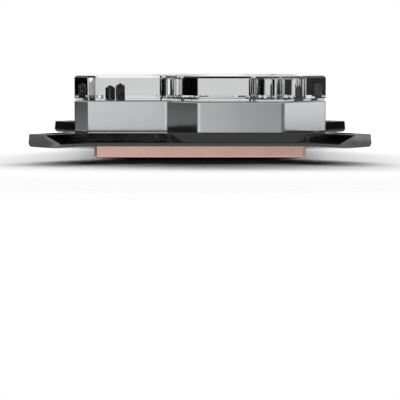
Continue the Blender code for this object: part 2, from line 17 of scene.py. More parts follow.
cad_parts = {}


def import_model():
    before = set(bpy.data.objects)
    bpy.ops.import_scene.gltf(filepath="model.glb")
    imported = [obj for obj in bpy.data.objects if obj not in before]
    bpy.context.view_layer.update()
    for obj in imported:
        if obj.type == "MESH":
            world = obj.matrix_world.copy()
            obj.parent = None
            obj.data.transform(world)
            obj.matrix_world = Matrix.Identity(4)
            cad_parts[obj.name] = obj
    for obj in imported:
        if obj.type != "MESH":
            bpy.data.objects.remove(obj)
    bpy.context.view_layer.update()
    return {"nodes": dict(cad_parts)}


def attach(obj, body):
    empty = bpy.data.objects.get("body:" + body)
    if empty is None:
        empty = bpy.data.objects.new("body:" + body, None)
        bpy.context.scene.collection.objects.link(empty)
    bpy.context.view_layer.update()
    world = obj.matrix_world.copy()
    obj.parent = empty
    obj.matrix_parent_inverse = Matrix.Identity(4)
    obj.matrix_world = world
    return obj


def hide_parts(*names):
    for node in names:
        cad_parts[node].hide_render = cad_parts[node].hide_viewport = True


log = logging.getLogger("water_block")

MM = 0.001
BODY = "root"

# How far a cutter runs past the face that it opens, and past one that it only touches, in millimetres.
OVERCUT = 1.0
SLIVER = 0.001

# Most of a noise lies between these two values.
NOISE_LOW = 0.3
NOISE_HIGH = 0.7

Pair = tuple[float, float]
Point = Pair
Triple = tuple[float, float, float]
Rgb = Triple
Stops = tuple[Point, ...]
Level = tuple[Sequence[Point], float]
Socket = bpy.types.NodeSocket
Shape = bmesh.types.BMesh


class Slot(Enum):
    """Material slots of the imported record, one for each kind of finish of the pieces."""

    COPPER = "copper"
    BLACK_STEEL = "black_steel"
    PLATED = "plated_metal"
    ACRYLIC = "clear_acrylic"
    RUBBER = "seal_rubber"
    SCREW = "screw_steel"


class Seen(Enum):
    """Outputs of the Light Path node, for rays that see the white background or the surroundings."""

    CAMERA = "Is Camera Ray"
    GLOSSY = "Is Glossy Ray"
    TRANSMISSION = "Is Transmission Ray"


class Graph:
    """A node tree that is written as calls, for shaders, the world and Geometry Nodes alike."""

    def __init__(self, tree: bpy.types.NodeTree) -> None:
        """Start from an empty tree.

        Args:
            tree: The tree to fill. Its nodes are removed first.
        """
        self.tree = tree
        self.tree.nodes.clear()

    def add(self, kind: str, inputs: dict | None = None, **settings: object) -> bpy.types.Node:
        """Add a node.

        Args:
            kind: The node's type name.
            inputs: Values or output sockets, by input name or index.
            settings: The node's own properties.

        Returns:
            The new node.
        """
        node = self.tree.nodes.new(kind)
        for name, value in settings.items():
            setattr(node, name, value)
        for key, value in (inputs or {}).items():
            self.feed(node.inputs[key], value)
        return node

    def feed(self, socket: Socket, value: object) -> None:
        """Link an output socket to an input, or set the input's value.

        Args:
            socket: The input.
            value: An output socket, or a plain value.
        """
        if isinstance(value, Socket):
            self.tree.links.new(value, socket)
        else:
            socket.default_value = value

    def math(self, operation: str, *values: object, clamp: bool = False) -> Socket:
        """Add a Math node.

        Args:
            operation: The operation's name.
            values: Numbers or sockets, in order.
            clamp: Whether the result is kept between 0 and 1.

        Returns:
            Its result.
        """
        inputs = dict(enumerate(values))
        node = self.add("ShaderNodeMath", inputs, operation=operation, use_clamp=clamp)
        return node.outputs[0]

    def plus(self, one: object, other: object) -> Socket:
        """Return the sum of two values."""
        return self.math("ADD", one, other)

    def minus(self, one: object, other: object) -> Socket:
        """Return the difference of two values."""
        return self.math("SUBTRACT", one, other)

    def times(self, one: object, other: object) -> Socket:
        """Return the product of two values."""
        return self.math("MULTIPLY", one, other)

    def over(self, one: object, other: object) -> Socket:
        """Return the quotient of two values."""
        return self.math("DIVIDE", one, other)

    def between(self, value: object, start: float, end: float, eased: bool = False) -> Socket:
        """Find how far a value has come on its way from one number to another.

        Args:
            value: The value.
            start: Where the share is 0.
            end: Where the share is 1.
            eased: Whether the share starts and ends softly.

        Returns:
            The share, kept between 0 and 1.
        """
        inputs = {"Value": value, "From Min": start, "From Max": end}
        course = "SMOOTHSTEP" if eased else "LINEAR"
        return self.add("ShaderNodeMapRange", inputs, interpolation_type=course).outputs[0]

    def ramp(self, value: object, stops: Sequence[tuple[float, Rgb]], eased: bool = True) -> Socket:
        """Add a colour ramp.

        Args:
            value: The factor.
            stops: Places and colours, from left to right.
            eased: Whether the colours ease into each other.

        Returns:
            Its colour.
        """
        node = self.add("ShaderNodeValToRGB", {"Fac": value})
        band = node.color_ramp
        band.interpolation = "EASE" if eased else "LINEAR"
        for index, (place, color) in enumerate(stops):
            stop = band.elements[index] if index < 2 else band.elements.new(place)
            stop.position = place
            stop.color = (*color, 1.0)
        return node.outputs["Color"]

    def blend(self, factor: object, low: object, high: object) -> Socket:
        """Mix two colours.

        Args:
            factor: The share of the second colour.
            low: The first colour.
            high: The second colour.

        Returns:
            The mix.
        """
        node = self.add("ShaderNodeMix", {"Factor": factor, "A": low, "B": high}, data_type="RGBA")
        return node.outputs["Result"]


def grey(value: float) -> Rgb:
    """Return a neutral colour of that value."""
    return (value, value, value)


def opaque(value: float) -> tuple[float, float, float, float]:
    """Return a neutral colour of that value, with full alpha."""
    return (*grey(value), 1.0)


@dataclass(frozen=True)
class Pattern:
    """A noise on Object coordinates, in features per metre, which may be drawn out into lines."""

    scale: float = 1.0
    detail: float = 3.0
    stretch: Triple | None = None


class FinishGraph(Graph):
    """A Principled material whose patterns sit on Object coordinates."""

    def __init__(self, name: str) -> None:
        """Make the material, its shader and its output.

        Args:
            name: The material's name.
        """
        self.material = bpy.data.materials.new(name)
        self.material.use_nodes = True
        super().__init__(self.material.node_tree)
        self.shader = self.add("ShaderNodeBsdfPrincipled")
        self.add("ShaderNodeOutputMaterial", {"Surface": self.shader.outputs[0]})
        self.place = self.add("ShaderNodeTexCoord").outputs["Object"]

    def noise(self, pattern: Pattern) -> Socket:
        """Add a noise.

        Args:
            pattern: Its scale, detail and stretch.

        Returns:
            Its value, from 0 to 1.
        """
        place = self.place
        if pattern.stretch:
            place = self.add("ShaderNodeMapping", {"Vector": place, "Scale": pattern.stretch}).outputs[0]
        inputs = {"Vector": place, "Scale": pattern.scale, "Detail": pattern.detail}
        return self.add("ShaderNodeTexNoise", inputs).outputs["Fac"]

    def spread(self, value: object, low: float, high: float) -> Socket:
        """Map a noise to a range.

        Args:
            value: The noise.
            low: The result where the noise is low.
            high: The result where the noise is high.

        Returns:
            The mapped value.
        """
        inputs = {"Value": value, "From Min": NOISE_LOW, "From Max": NOISE_HIGH,
                  "To Min": low, "To Max": high}
        return self.add("ShaderNodeMapRange", inputs).outputs[0]

    def tone(self, value: object, dark: Rgb, light: Rgb) -> None:
        """Let a noise vary the base colour.

        Args:
            value: The noise.
            dark: The colour where the noise is low.
            light: The colour where the noise is high.
        """
        stops = [(NOISE_LOW, dark), (NOISE_HIGH, light)]
        self.feed(self.shader.inputs["Base Color"], self.ramp(value, stops))

    def relief(self, height: object, depth: float, strength: float) -> None:
        """Add a bump.

        Args:
            height: The height pattern.
            depth: The relief's depth in millimetres.
            strength: How much of it shows.
        """
        inputs = {"Height": height, "Distance": depth * MM, "Strength": strength}
        self.feed(self.shader.inputs["Normal"], self.add("ShaderNodeBump", inputs).outputs[0])

    def set(self, **values: object) -> None:
        """Set shader inputs by name, with underscores for the spaces."""
        for name, value in values.items():
            self.feed(self.shader.inputs[name.replace("_", " ")], value)


@dataclass(frozen=True)
class Finish:
    """A surface whose tone drifts in soft clouds, over a fine grain that catches the light.

    The clouds vary the roughness too, or the grain does where it is drawn out into lines. The relief is the
    grain's depth in millimetres and how much of it shows.
    """

    name: str
    dark: Rgb
    light: Rgb
    roughness: Pair
    clouds: Pattern
    relief: Pair
    grain: Pattern = Pattern()
    metallic: float = 0.0
    gloss: float = 0.5

    def height(self, graph: FinishGraph) -> Socket:
        """Return the grain's height."""
        return graph.noise(self.grain)

    def add_own(self, graph: FinishGraph) -> None:
        """Add what this finish alone has, which for most is nothing."""

    def make(self) -> bpy.types.Material:
        """Make the material.

        Returns:
            The material.
        """
        graph = FinishGraph(self.name)
        clouds = graph.noise(self.clouds)
        grain = self.height(graph)
        graph.tone(clouds, self.dark, self.light)
        roughness = graph.spread(grain if self.grain.stretch else clouds, *self.roughness)
        graph.set(Metallic=self.metallic, Roughness=roughness, Specular_IOR_Level=self.gloss)
        graph.relief(grain, *self.relief)
        self.add_own(graph)
        return graph.material


@dataclass(frozen=True)
class SatinPlate(Finish):
    """Bright plating over finely blasted metal."""

    name: str = "satin_plate"
    dark: Rgb = (0.70, 0.71, 0.72)
    light: Rgb = (0.76, 0.765, 0.775)
    roughness: Pair = (0.11, 0.14)
    clouds: Pattern = Pattern(90.0, 4.0)
    grain: Pattern = Pattern(5200.0, 2.0)
    relief: Pair = (0.004, 0.25)
    metallic: float = 1.0


@dataclass(frozen=True)
class BlackCoat(Finish):
    """Smooth black coating on folded sheet steel, with a faint orange peel."""

    name: str = "black_coat"
    dark: Rgb = (0.006, 0.006, 0.0065)
    light: Rgb = (0.009, 0.009, 0.0095)
    roughness: Pair = (0.10, 0.14)
    clouds: Pattern = Pattern(140.0, 4.0)
    grain: Pattern = Pattern(1500.0, 2.0)
    relief: Pair = (0.002, 0.1)
    gloss: float = 0.3


@dataclass(frozen=True)
class CutEdge(Finish):
    """Sheared end of the bracket's sheet, where the dark plating shows the lines of the shear."""

    name: str = "cut_edge"
    dark: Rgb = (0.37, 0.37, 0.375)
    light: Rgb = (0.43, 0.43, 0.435)
    roughness: Pair = (0.03, 0.05)
    clouds: Pattern = Pattern(300.0)
    grain: Pattern = Pattern(stretch=(3800.0, 3800.0, 300.0))
    relief: Pair = (0.0005, 0.015)
    metallic: float = 1.0


@dataclass(frozen=True)
class MilledCopper(Finish):
    """Bare copper with the fine lines of milling and lapping."""

    name: str = "milled_copper"
    dark: Rgb = (0.90, 0.58, 0.50)
    light: Rgb = (0.95, 0.62, 0.54)
    roughness: Pair = (0.26, 0.30)
    clouds: Pattern = Pattern(70.0, 5.0)
    grain: Pattern = Pattern(detail=2.0, stretch=(60.0, 5200.0, 5200.0))
    relief: Pair = (0.001, 0.02)
    metallic: float = 1.0


@dataclass(frozen=True)
class ClearAcrylic(Finish):
    """Polished cast acrylic with faint turning marks."""

    name: str = "clear_acrylic"
    dark: Rgb = (0.95, 0.955, 0.96)
    light: Rgb = (0.97, 0.975, 0.98)
    roughness: Pair = (0.0, 0.01)
    clouds: Pattern = Pattern(160.0, 4.0)
    grain: Pattern = Pattern(60.0, 2.0)
    relief: Pair = (0.01, 0.02)
    index: float = 1.49
    glare: float = 0.1

    def add_own(self, graph: FinishGraph) -> None:
        """Let light through, and damp the glare."""
        graph.set(Transmission_Weight=1.0, IOR=self.index, Specular_Tint=opaque(self.glare))


@dataclass(frozen=True)
class PaintedShadeHoleWall(Finish):
    """Wall of a tapped hole in the acrylic, painted near black: painted shade for the dark look of the hole
    seen through the clear cover.
    """

    name: str = "hole_wall_painted_shade"
    # Painted shade: near-black tones stand in for the hole's dark look through the acrylic; the thread
    # shows only in the bump.
    dark: Rgb = (0.006, 0.006, 0.007)
    light: Rgb = (0.014, 0.014, 0.015)
    roughness: Pair = (0.12, 0.2)
    clouds: Pattern = Pattern(500.0)
    relief: Pair = (0.02, 0.3)
    gloss: float = 1.0
    pitch: float = 0.5

    def height(self, graph: FinishGraph) -> Socket:
        """Return the thread's rings in place of a grain."""
        parts = graph.add("ShaderNodeSeparateXYZ", {"Vector": graph.place}).outputs
        return graph.math("PINGPONG", graph.times(parts["Z"], 1.0 / (self.pitch * MM)), 0.5)


@dataclass(frozen=True)
class SealRubber(Finish):
    """Matt black rubber."""

    name: str = "seal_rubber"
    dark: Rgb = (0.010, 0.010, 0.011)
    light: Rgb = (0.022, 0.022, 0.023)
    roughness: Pair = (0.5, 0.7)
    clouds: Pattern = Pattern(400.0, 4.0)
    grain: Pattern = Pattern(3000.0)
    relief: Pair = (0.01, 0.3)


@dataclass(frozen=True)
class Steel(Finish):
    """Stainless steel with lines along one direction."""

    dark: Rgb = (0.50, 0.50, 0.50)
    light: Rgb = (0.62, 0.62, 0.62)
    roughness: Pair = (0.2, 0.34)
    clouds: Pattern = Pattern(300.0)
    relief: Pair = (0.004, 0.3)
    metallic: float = 1.0


@dataclass(frozen=True)
class MouldedPlastic(Finish):
    """Black moulded plastic with a fine spark-eroded grain."""

    name: str = "moulded_plastic"
    dark: Rgb = (0.018, 0.018, 0.019)
    light: Rgb = (0.035, 0.035, 0.037)
    roughness: Pair = (0.4, 0.55)
    clouds: Pattern = Pattern(200.0, 4.0)
    grain: Pattern = Pattern(2600.0, 2.0)
    relief: Pair = (0.015, 0.4)


@dataclass(frozen=True)
class Finishes:
    """Every finish of the block, made once."""

    plate: bpy.types.Material
    coat: bpy.types.Material
    cut_edge: bpy.types.Material
    copper: bpy.types.Material
    acrylic: bpy.types.Material
    # Painted shade on the walls of the cover's screw holes.
    tapped: bpy.types.Material
    rubber: bpy.types.Material
    sheet_steel: bpy.types.Material
    screw_steel: bpy.types.Material
    plastic: bpy.types.Material

    @classmethod
    def make(cls) -> "Finishes":
        """Make the whole set.

        Returns:
            The set.
        """
        return cls(
            plate=SatinPlate().make(),
            coat=BlackCoat().make(),
            cut_edge=CutEdge().make(),
            copper=MilledCopper().make(),
            acrylic=ClearAcrylic().make(),
            tapped=PaintedShadeHoleWall().make(),
            rubber=SealRubber().make(),
            sheet_steel=Steel("sheet_steel", grain=Pattern(stretch=(90.0, 4200.0, 4200.0))).make(),
            screw_steel=Steel("screw_steel", grain=Pattern(stretch=(900.0, 900.0, 6000.0))).make(),
            plastic=MouldedPlastic().make(),
        )


def circle(x: float, y: float, radius: float, steps: int) -> list[Point]:
    """Return the points of a circle, anticlockwise."""
    turns = [2 * math.pi * index / steps for index in range(steps)]
    return [(x + radius * math.cos(turn), y + radius * math.sin(turn)) for turn in turns]


def fillet(points: Sequence[Point], radii: float | Sequence[float], steps: int = 6) -> list[Point]:
    """Round every corner of an anticlockwise outline.

    Args:
        points: The corners.
        radii: The arcs' radius, one for all corners or one for each.
        steps: Segments in each arc.

    Returns:
        The rounded outline.
    """
    rounded = []
    for index, point in enumerate(points):
        radius = radii if isinstance(radii, float) else radii[index]
        corner = Vector(point)
        back = (Vector(points[index - 1]) - corner).normalized()
        ahead = (Vector(points[(index + 1) % len(points)]) - corner).normalized()
        half = back.angle(ahead) / 2
        side = 1.0 if back.cross(ahead) < 0 else -1.0
        start = corner + back * (radius / math.tan(half))
        arm = Vector((-back.y, back.x)) * radius * side
        centre = start - arm
        for step in range(steps + 1):
            spun = Matrix.Rotation(side * (math.pi - 2 * half) * step / steps, 2) @ arm
            rounded.append(tuple(centre + spun))
    return rounded


def rounded_box(size: Pair, radius: float, centre_x: float = 0.0) -> list[Point]:
    """Draw a rectangle with rounded corners.

    Args:
        size: Its whole size along X and Y.
        radius: The corners' radius.
        centre_x: Where its middle lies along X.

    Returns:
        Its outline.
    """
    half_x, half_y = size[0] / 2, size[1] / 2
    left, right = centre_x - half_x, centre_x + half_x
    return fillet([(left, -half_y), (right, -half_y), (right, half_y), (left, half_y)], radius)


def skin(levels: Sequence[Level]) -> Shape:
    """Close a shape through loops of equal length.

    Args:
        levels: Loops and their heights, from bottom to top.

    Returns:
        The shape.
    """
    shape = bmesh.new()
    rings = [[shape.verts.new((x, y, height)) for x, y in points] for points, height in levels]
    for low, high in zip(rings, rings[1:]):
        for index in range(len(low)):
            ahead = (index + 1) % len(low)
            shape.faces.new((low[index], low[ahead], high[ahead], high[index]))
    shape.faces.new(rings[0][::-1])
    shape.faces.new(rings[-1])
    return shape


def turned(x: float, y: float, profile: Sequence[Point], steps: int) -> Shape:
    """Turn a profile round an upright axis.

    Args:
        x: The axis along X.
        y: The axis along Y.
        profile: Radius and height pairs, from bottom to top.
        steps: Segments round the axis.

    Returns:
        The turned shape.
    """
    return skin([(circle(x, y, radius, steps), height) for radius, height in profile])


def ring_shape(outer: Sequence[Point], inner: Sequence[Point], low: float, high: float) -> Shape:
    """Close a flat ring between two outlines of equal length.

    Args:
        outer: The outer outline.
        inner: The inner outline.
        low: The underside's height.
        high: The top's height.

    Returns:
        The ring.
    """
    shape = bmesh.new()
    sides = ((outer, low), (outer, high), (inner, high), (inner, low))
    loops = [[shape.verts.new((x, y, height)) for x, y in points] for points, height in sides]
    for here, there in zip(loops, loops[1:] + loops[:1]):
        for index in range(len(outer)):
            ahead = (index + 1) % len(outer)
            shape.faces.new((here[index], here[ahead], there[ahead], there[index]))
    bmesh.ops.recalc_face_normals(shape, faces=shape.faces)
    return shape


def arc_levels(outline: Callable[[float], list[Point]], edge: float, radius: float,
               rising: bool) -> list[Level]:
    """Round the rim of a block.

    Args:
        outline: Gives the outline at an inset.
        edge: The height of the flat face.
        radius: The rim's radius.
        rising: True for the underside's rim, False for the top's.

    Returns:
        The rim's levels, from bottom to top.
    """
    side = 1 if rising else -1
    turns = [math.radians(angle) for angle in (0, 22.5, 45, 67.5, 90)]
    levels = [(outline(radius * (1 - math.sin(turn))), edge + side * radius * (1 - math.cos(turn)))
              for turn in turns]
    return levels if rising else levels[::-1]


def solid(name: str, shape: Shape) -> bpy.types.Object:
    """Make an object in metres from a shape in millimetres.

    Args:
        name: The object's name.
        shape: The shape, which is freed.

    Returns:
        The object, in the scene.
    """
    bmesh.ops.recalc_face_normals(shape, faces=shape.faces)
    bmesh.ops.transform(shape, matrix=Matrix.Scale(MM, 4), verts=shape.verts)
    mesh = bpy.data.meshes.new(name)
    shape.to_mesh(mesh)
    shape.free()
    thing = bpy.data.objects.new(name, mesh)
    bpy.context.scene.collection.objects.link(thing)
    return thing


def bake(thing: bpy.types.Object) -> bpy.types.Object:
    """Replace an object's mesh by its evaluated mesh and remove its modifiers.

    Args:
        thing: The object.

    Returns:
        The same object.
    """
    bpy.context.view_layer.update()
    graph = bpy.context.evaluated_depsgraph_get()
    mesh = bpy.data.meshes.new_from_object(thing.evaluated_get(graph), depsgraph=graph)
    thing.modifiers.clear()
    thing.data = mesh
    return thing


def carved(name: str, shape: Shape, cutters: Sequence[Shape]) -> bpy.types.Object:
    """Cut shapes out of a solid.

    Args:
        name: The solid's name.
        shape: The solid.
        cutters: Closed shapes that go.

    Returns:
        What stays of the solid.
    """
    thing = solid(name, shape)
    tools = [solid(f"{name}_tool", cutter) for cutter in cutters]
    for tool in tools:
        cut = thing.modifiers.new("cut", "BOOLEAN")
        cut.operation = "DIFFERENCE"
        cut.solver = "EXACT"
        cut.object = tool
    bake(thing)
    for tool in tools:
        bpy.data.objects.remove(tool)
    return thing


def finish_piece(thing: bpy.types.Object, material: bpy.types.Material, slot: Slot, nodes: Sequence[str],
                 crease: float = 28.0) -> bpy.types.Object:
    """Dress a piece and tie it to the frame.

    Args:
        thing: The piece.
        material: Its finish.
        slot: The record's slot of that finish; not used.
        nodes: The CAD nodes that it stands for.
        crease: The angle in degrees past which an edge stays sharp.

    Returns:
        The same piece.
    """
    mesh = thing.data
    mesh.materials.clear()
    mesh.materials.append(material)
    mesh.shade_smooth()
    mesh.set_sharp_from_angle(angle=math.radians(crease))
    thing.modifiers.new("flat_faces_stay_flat", "WEIGHTED_NORMAL").keep_sharp = True
    bake(thing)
    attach(thing, BODY)
    if nodes:
        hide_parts(*nodes)
    log.info("%s: %d faces", thing.name, len(thing.data.polygons))
    return thing


def finish_faces(thing: bpy.types.Object, material: bpy.types.Material,
                 has_it: Callable[[bpy.types.MeshPolygon], bool]) -> None:
    """Give some faces of a finished piece a second finish.

    Args:
        thing: The piece.
        material: The second finish.
        has_it: Tells whether a face has it.
    """
    thing.data.materials.append(material)
    for face in thing.data.polygons:
        if has_it(face):
            face.material_index = 1


class GrownPiece(Graph):
    """A Geometry Nodes tree with named sizes, whose result becomes a plain mesh."""

    def __init__(self, name: str) -> None:
        """Make the tree with its geometry input and output.

        Args:
            name: The tree's name, which the piece takes over.
        """
        super().__init__(bpy.data.node_groups.new(name, "GeometryNodeTree"))
        self.name = name
        self.values: dict[str, object] = {}
        face = self.tree.interface
        face.new_socket("Geometry", in_out="INPUT", socket_type="NodeSocketGeometry")
        face.new_socket("Geometry", in_out="OUTPUT", socket_type="NodeSocketGeometry")
        self.inlet = self.add("NodeGroupInput")
        self.outlet = self.add("NodeGroupOutput")

    def named(self, name: str, kind: str, value: object) -> Socket:
        """Add a named input.

        Args:
            name: The input's name.
            kind: The type of its socket.
            value: Its value.

        Returns:
            The socket inside the tree.
        """
        socket = self.tree.interface.new_socket(name, in_out="INPUT", socket_type=kind)
        self.values[socket.identifier] = value
        return self.inlet.outputs[name]

    def size(self, name: str, value: float) -> Socket:
        """Add a named size in millimetres and return its socket, in metres."""
        return self.named(name, "NodeSocketFloat", value * MM)

    def number(self, name: str, value: int) -> Socket:
        """Add a named whole number and return its socket."""
        return self.named(name, "NodeSocketInt", value)

    def material(self, name: str, value: bpy.types.Material) -> Socket:
        """Add a named finish and return its socket."""
        return self.named(name, "NodeSocketMaterial", value)

    def vector(self, **parts: object) -> Socket:
        """Return a vector of the parts X, Y and Z, each 0 where it isn't given."""
        return self.add("ShaderNodeCombineXYZ", parts).outputs[0]

    def moved(self, geometry: Socket, offset: Socket) -> Socket:
        """Return geometry moved by an offset."""
        inputs = {"Geometry": geometry, "Translation": offset}
        return self.add("GeometryNodeTransform", inputs).outputs[0]

    def repeated(self, points: Socket, geometry: Socket) -> Socket:
        """Return geometry repeated at every point."""
        inputs = {"Points": points, "Instance": geometry}
        return self.add("GeometryNodeInstanceOnPoints", inputs).outputs[0]

    def close(self, geometry: Socket, finish: Socket) -> None:
        """End the tree in real geometry with its material.

        Args:
            geometry: The geometry, with its instances.
            finish: The finish.
        """
        real = self.add("GeometryNodeRealizeInstances", {"Geometry": geometry})
        dressed = self.add("GeometryNodeSetMaterial", {"Geometry": real.outputs[0], "Material": finish})
        self.feed(self.outlet.inputs[0], dressed.outputs[0])

    def grow(self, base: Shape) -> bpy.types.Object:
        """Run the tree.

        Args:
            base: The shape that it starts from, in millimetres.

        Returns:
            The plain piece.
        """
        thing = solid(self.name, base)
        modifier = thing.modifiers.new(self.name, "NODES")
        modifier.node_group = self.tree
        for identifier, value in self.values.items():
            modifier[identifier] = value
        return bake(thing)


@dataclass
class Stack:
    """Heights of the block's layers, upwards from the copper face, in millimetres."""

    gap: float = 0.25
    slab: float = 5.95
    sheet: float = 1.8
    foot_gap: float = 0.05
    body: float = 9.4
    cover: float = 7.75
    island_stand: float = 0.9
    fin: float = 3.6

    @property
    def bracket_under(self) -> float:
        """Underside of the bracket's flat top."""
        return self.slab + self.gap

    @property
    def bracket_top(self) -> float:
        """Top of the bracket."""
        return self.bracket_under + self.sheet

    @property
    def body_bottom(self) -> float:
        """Underside of the plated frame."""
        return self.bracket_top + self.foot_gap

    @property
    def body_top(self) -> float:
        """Top of the plated frame."""
        return self.body_bottom + self.body

    @property
    def cover_bottom(self) -> float:
        """Underside of the clear cover."""
        return self.body_top + self.gap

    @property
    def cover_top(self) -> float:
        """Top of the clear cover."""
        return self.cover_bottom + self.cover

    @property
    def island_top(self) -> float:
        """Top of the copper island, at the foot of the fins."""
        return self.body_bottom + self.island_stand

    @property
    def fin_top(self) -> float:
        """Tops of the fins."""
        return self.island_top + self.fin


@dataclass
class BlockOutline:
    """The outline that frame and cover share, with a nose right of the middle of the front."""

    half_x: float = 40.1
    back_y: float = 24.0
    recess_y: float = -24.0
    nose_y: float = -34.1
    nose_left: float = -0.5
    nose_right: float = 25.8
    corner: float = 4.8
    radius: float = 0.9
    inner_radius: float = 1.3
    nose_left_radius: float = 1.6
    nose_right_radius: float = 2.0
    arc_steps: int = 8

    def at(self, inset: float = 0.0) -> list[Point]:
        """Draw the rounded outline.

        Args:
            inset: How far it is moved inwards.

        Returns:
            The outline, whose corners all turn by 45 degrees.
        """
        slant = inset * math.tan(math.radians(45 / 2))
        step = self.recess_y - self.nose_y
        half, back = self.half_x - inset, self.back_y - inset
        recess, nose = self.recess_y + inset, self.nose_y + inset
        leg = self.corner - inset + slant
        facet_y = self.nose_y + self.half_x - self.nose_right + slant
        corners = [(-half, recess + leg), (-half + leg, recess), (self.nose_left - step + slant, recess),
                   (self.nose_left + slant, nose), (self.nose_right - slant, nose), (half, facet_y),
                   (half, back - leg), (half - leg, back), (-half + leg, back), (-half, back - leg)]
        radii = [self.radius] * len(corners)
        radii[2:5] = self.inner_radius, self.nose_left_radius, self.nose_right_radius
        return fillet(corners, radii, self.arc_steps)


@dataclass
class ScrewPlan:
    """Where the screws stand, and the sizes that they and their holes share."""

    shank: float = 1.5
    head: float = 2.9
    head_height: float = 1.6
    sink: float = 0.35
    clearance: float = 0.25
    cover_places: Stops = ((-28.5, -19.8), (28.5, -19.8), (26.8, 19.8), (-26.8, 19.8))
    base_places: Stops = ((-29.75, -7.0), (-29.75, 7.0), (29.75, -7.0), (29.75, 7.0),
                          (-10.0, -20.6), (-10.0, 20.6), (10.0, -20.6), (10.0, 20.6))
    cover_bite: float = 3.9
    base_bite: float = 6.0
    drill_half_angle: float = 59.0
    drill_flat: float = 0.1
    seat_sides: int = 40
    hole_sides: int = 24
    drill_sides: int = 48

    @property
    def hole(self) -> float:
        """Radius of the holes round the shanks."""
        return self.shank + self.clearance

    @property
    def places(self) -> Stops:
        """Every screw's place."""
        return self.cover_places + self.base_places

    def through(self, place: Point, low: float, high: float, mouth: Stops = ((0.0, OVERCUT),)) -> Shape:
        """Cut a hole for a shank right through a piece.

        Args:
            place: Its axis along X and Y.
            low: Height of the piece's underside.
            high: Height of the piece's top.
            mouth: How far the hole widens, and at what height over the top.

        Returns:
            The cutter.
        """
        profile = [(self.hole, low - OVERCUT)]
        profile += [(self.hole + grow, high + rise) for grow, rise in mouth]
        return turned(*place, profile, self.hole_sides)

    def drilled(self, place: Point, radius: float, face: float, depth: float) -> Shape:
        """Drill a blind hole upwards, with a drill point.

        Args:
            place: Its axis along X and Y.
            radius: Its radius.
            face: Height of the underside that it opens.
            depth: The full bore's depth.

        Returns:
            The cutter.
        """
        point = (radius - self.drill_flat) / math.tan(math.radians(self.drill_half_angle))
        profile = [(radius, face - OVERCUT), (radius, face + depth),
                   (self.drill_flat, face + depth + point)]
        return turned(*place, profile, self.drill_sides)


@dataclass
class SealSeat:
    """The groove of a seal and the round rubber section in it, alike for both seals."""

    width: float = 1.7
    depth: float = 1.3
    section: float = 0.625
    section_sides: int = 16
    floor_gap: float = 0.15

    def groove(self, course: Callable[[float], list[Point]], top: float) -> Shape:
        """Cut the groove.

        Args:
            course: Gives the seal's course, widened by an amount.
            top: Height of the face that it opens.

        Returns:
            The cutter.
        """
        half = self.width / 2
        return ring_shape(course(half), course(-half), top - self.depth, top + OVERCUT)

    def build(self, name: str, course: Sequence[Point], top: float, node: str, finishes: Finishes) -> None:
        """Build the seal, whose round section follows its course, by Geometry Nodes.

        Args:
            name: The piece's name.
            course: Its course in plan.
            top: Height of the face that the groove opens.
            node: The CAD node that it stands for.
            finishes: The finishes.
        """
        graph = GrownPiece(name)
        section = graph.size("Section Radius", self.section)
        sides = graph.number("Section Sides", self.section_sides)
        rubber = graph.material("Rubber", finishes.rubber)
        path = graph.add("GeometryNodeMeshToCurve", {"Mesh": graph.inlet.outputs[0]})
        profile = graph.add("GeometryNodeCurvePrimitiveCircle", {"Resolution": sides, "Radius": section})
        inputs = {"Curve": path.outputs[0], "Profile Curve": profile.outputs[0]}
        graph.close(graph.add("GeometryNodeCurveToMesh", inputs).outputs[0], rubber)
        height = top - self.depth + self.floor_gap + self.section
        base = bmesh.new()
        verts = [base.verts.new((x, y, height)) for x, y in course]
        for index, vert in enumerate(verts):
            base.edges.new((vert, verts[(index + 1) % len(verts)]))
        finish_piece(graph.grow(base), finishes.rubber, Slot.RUBBER, [node])


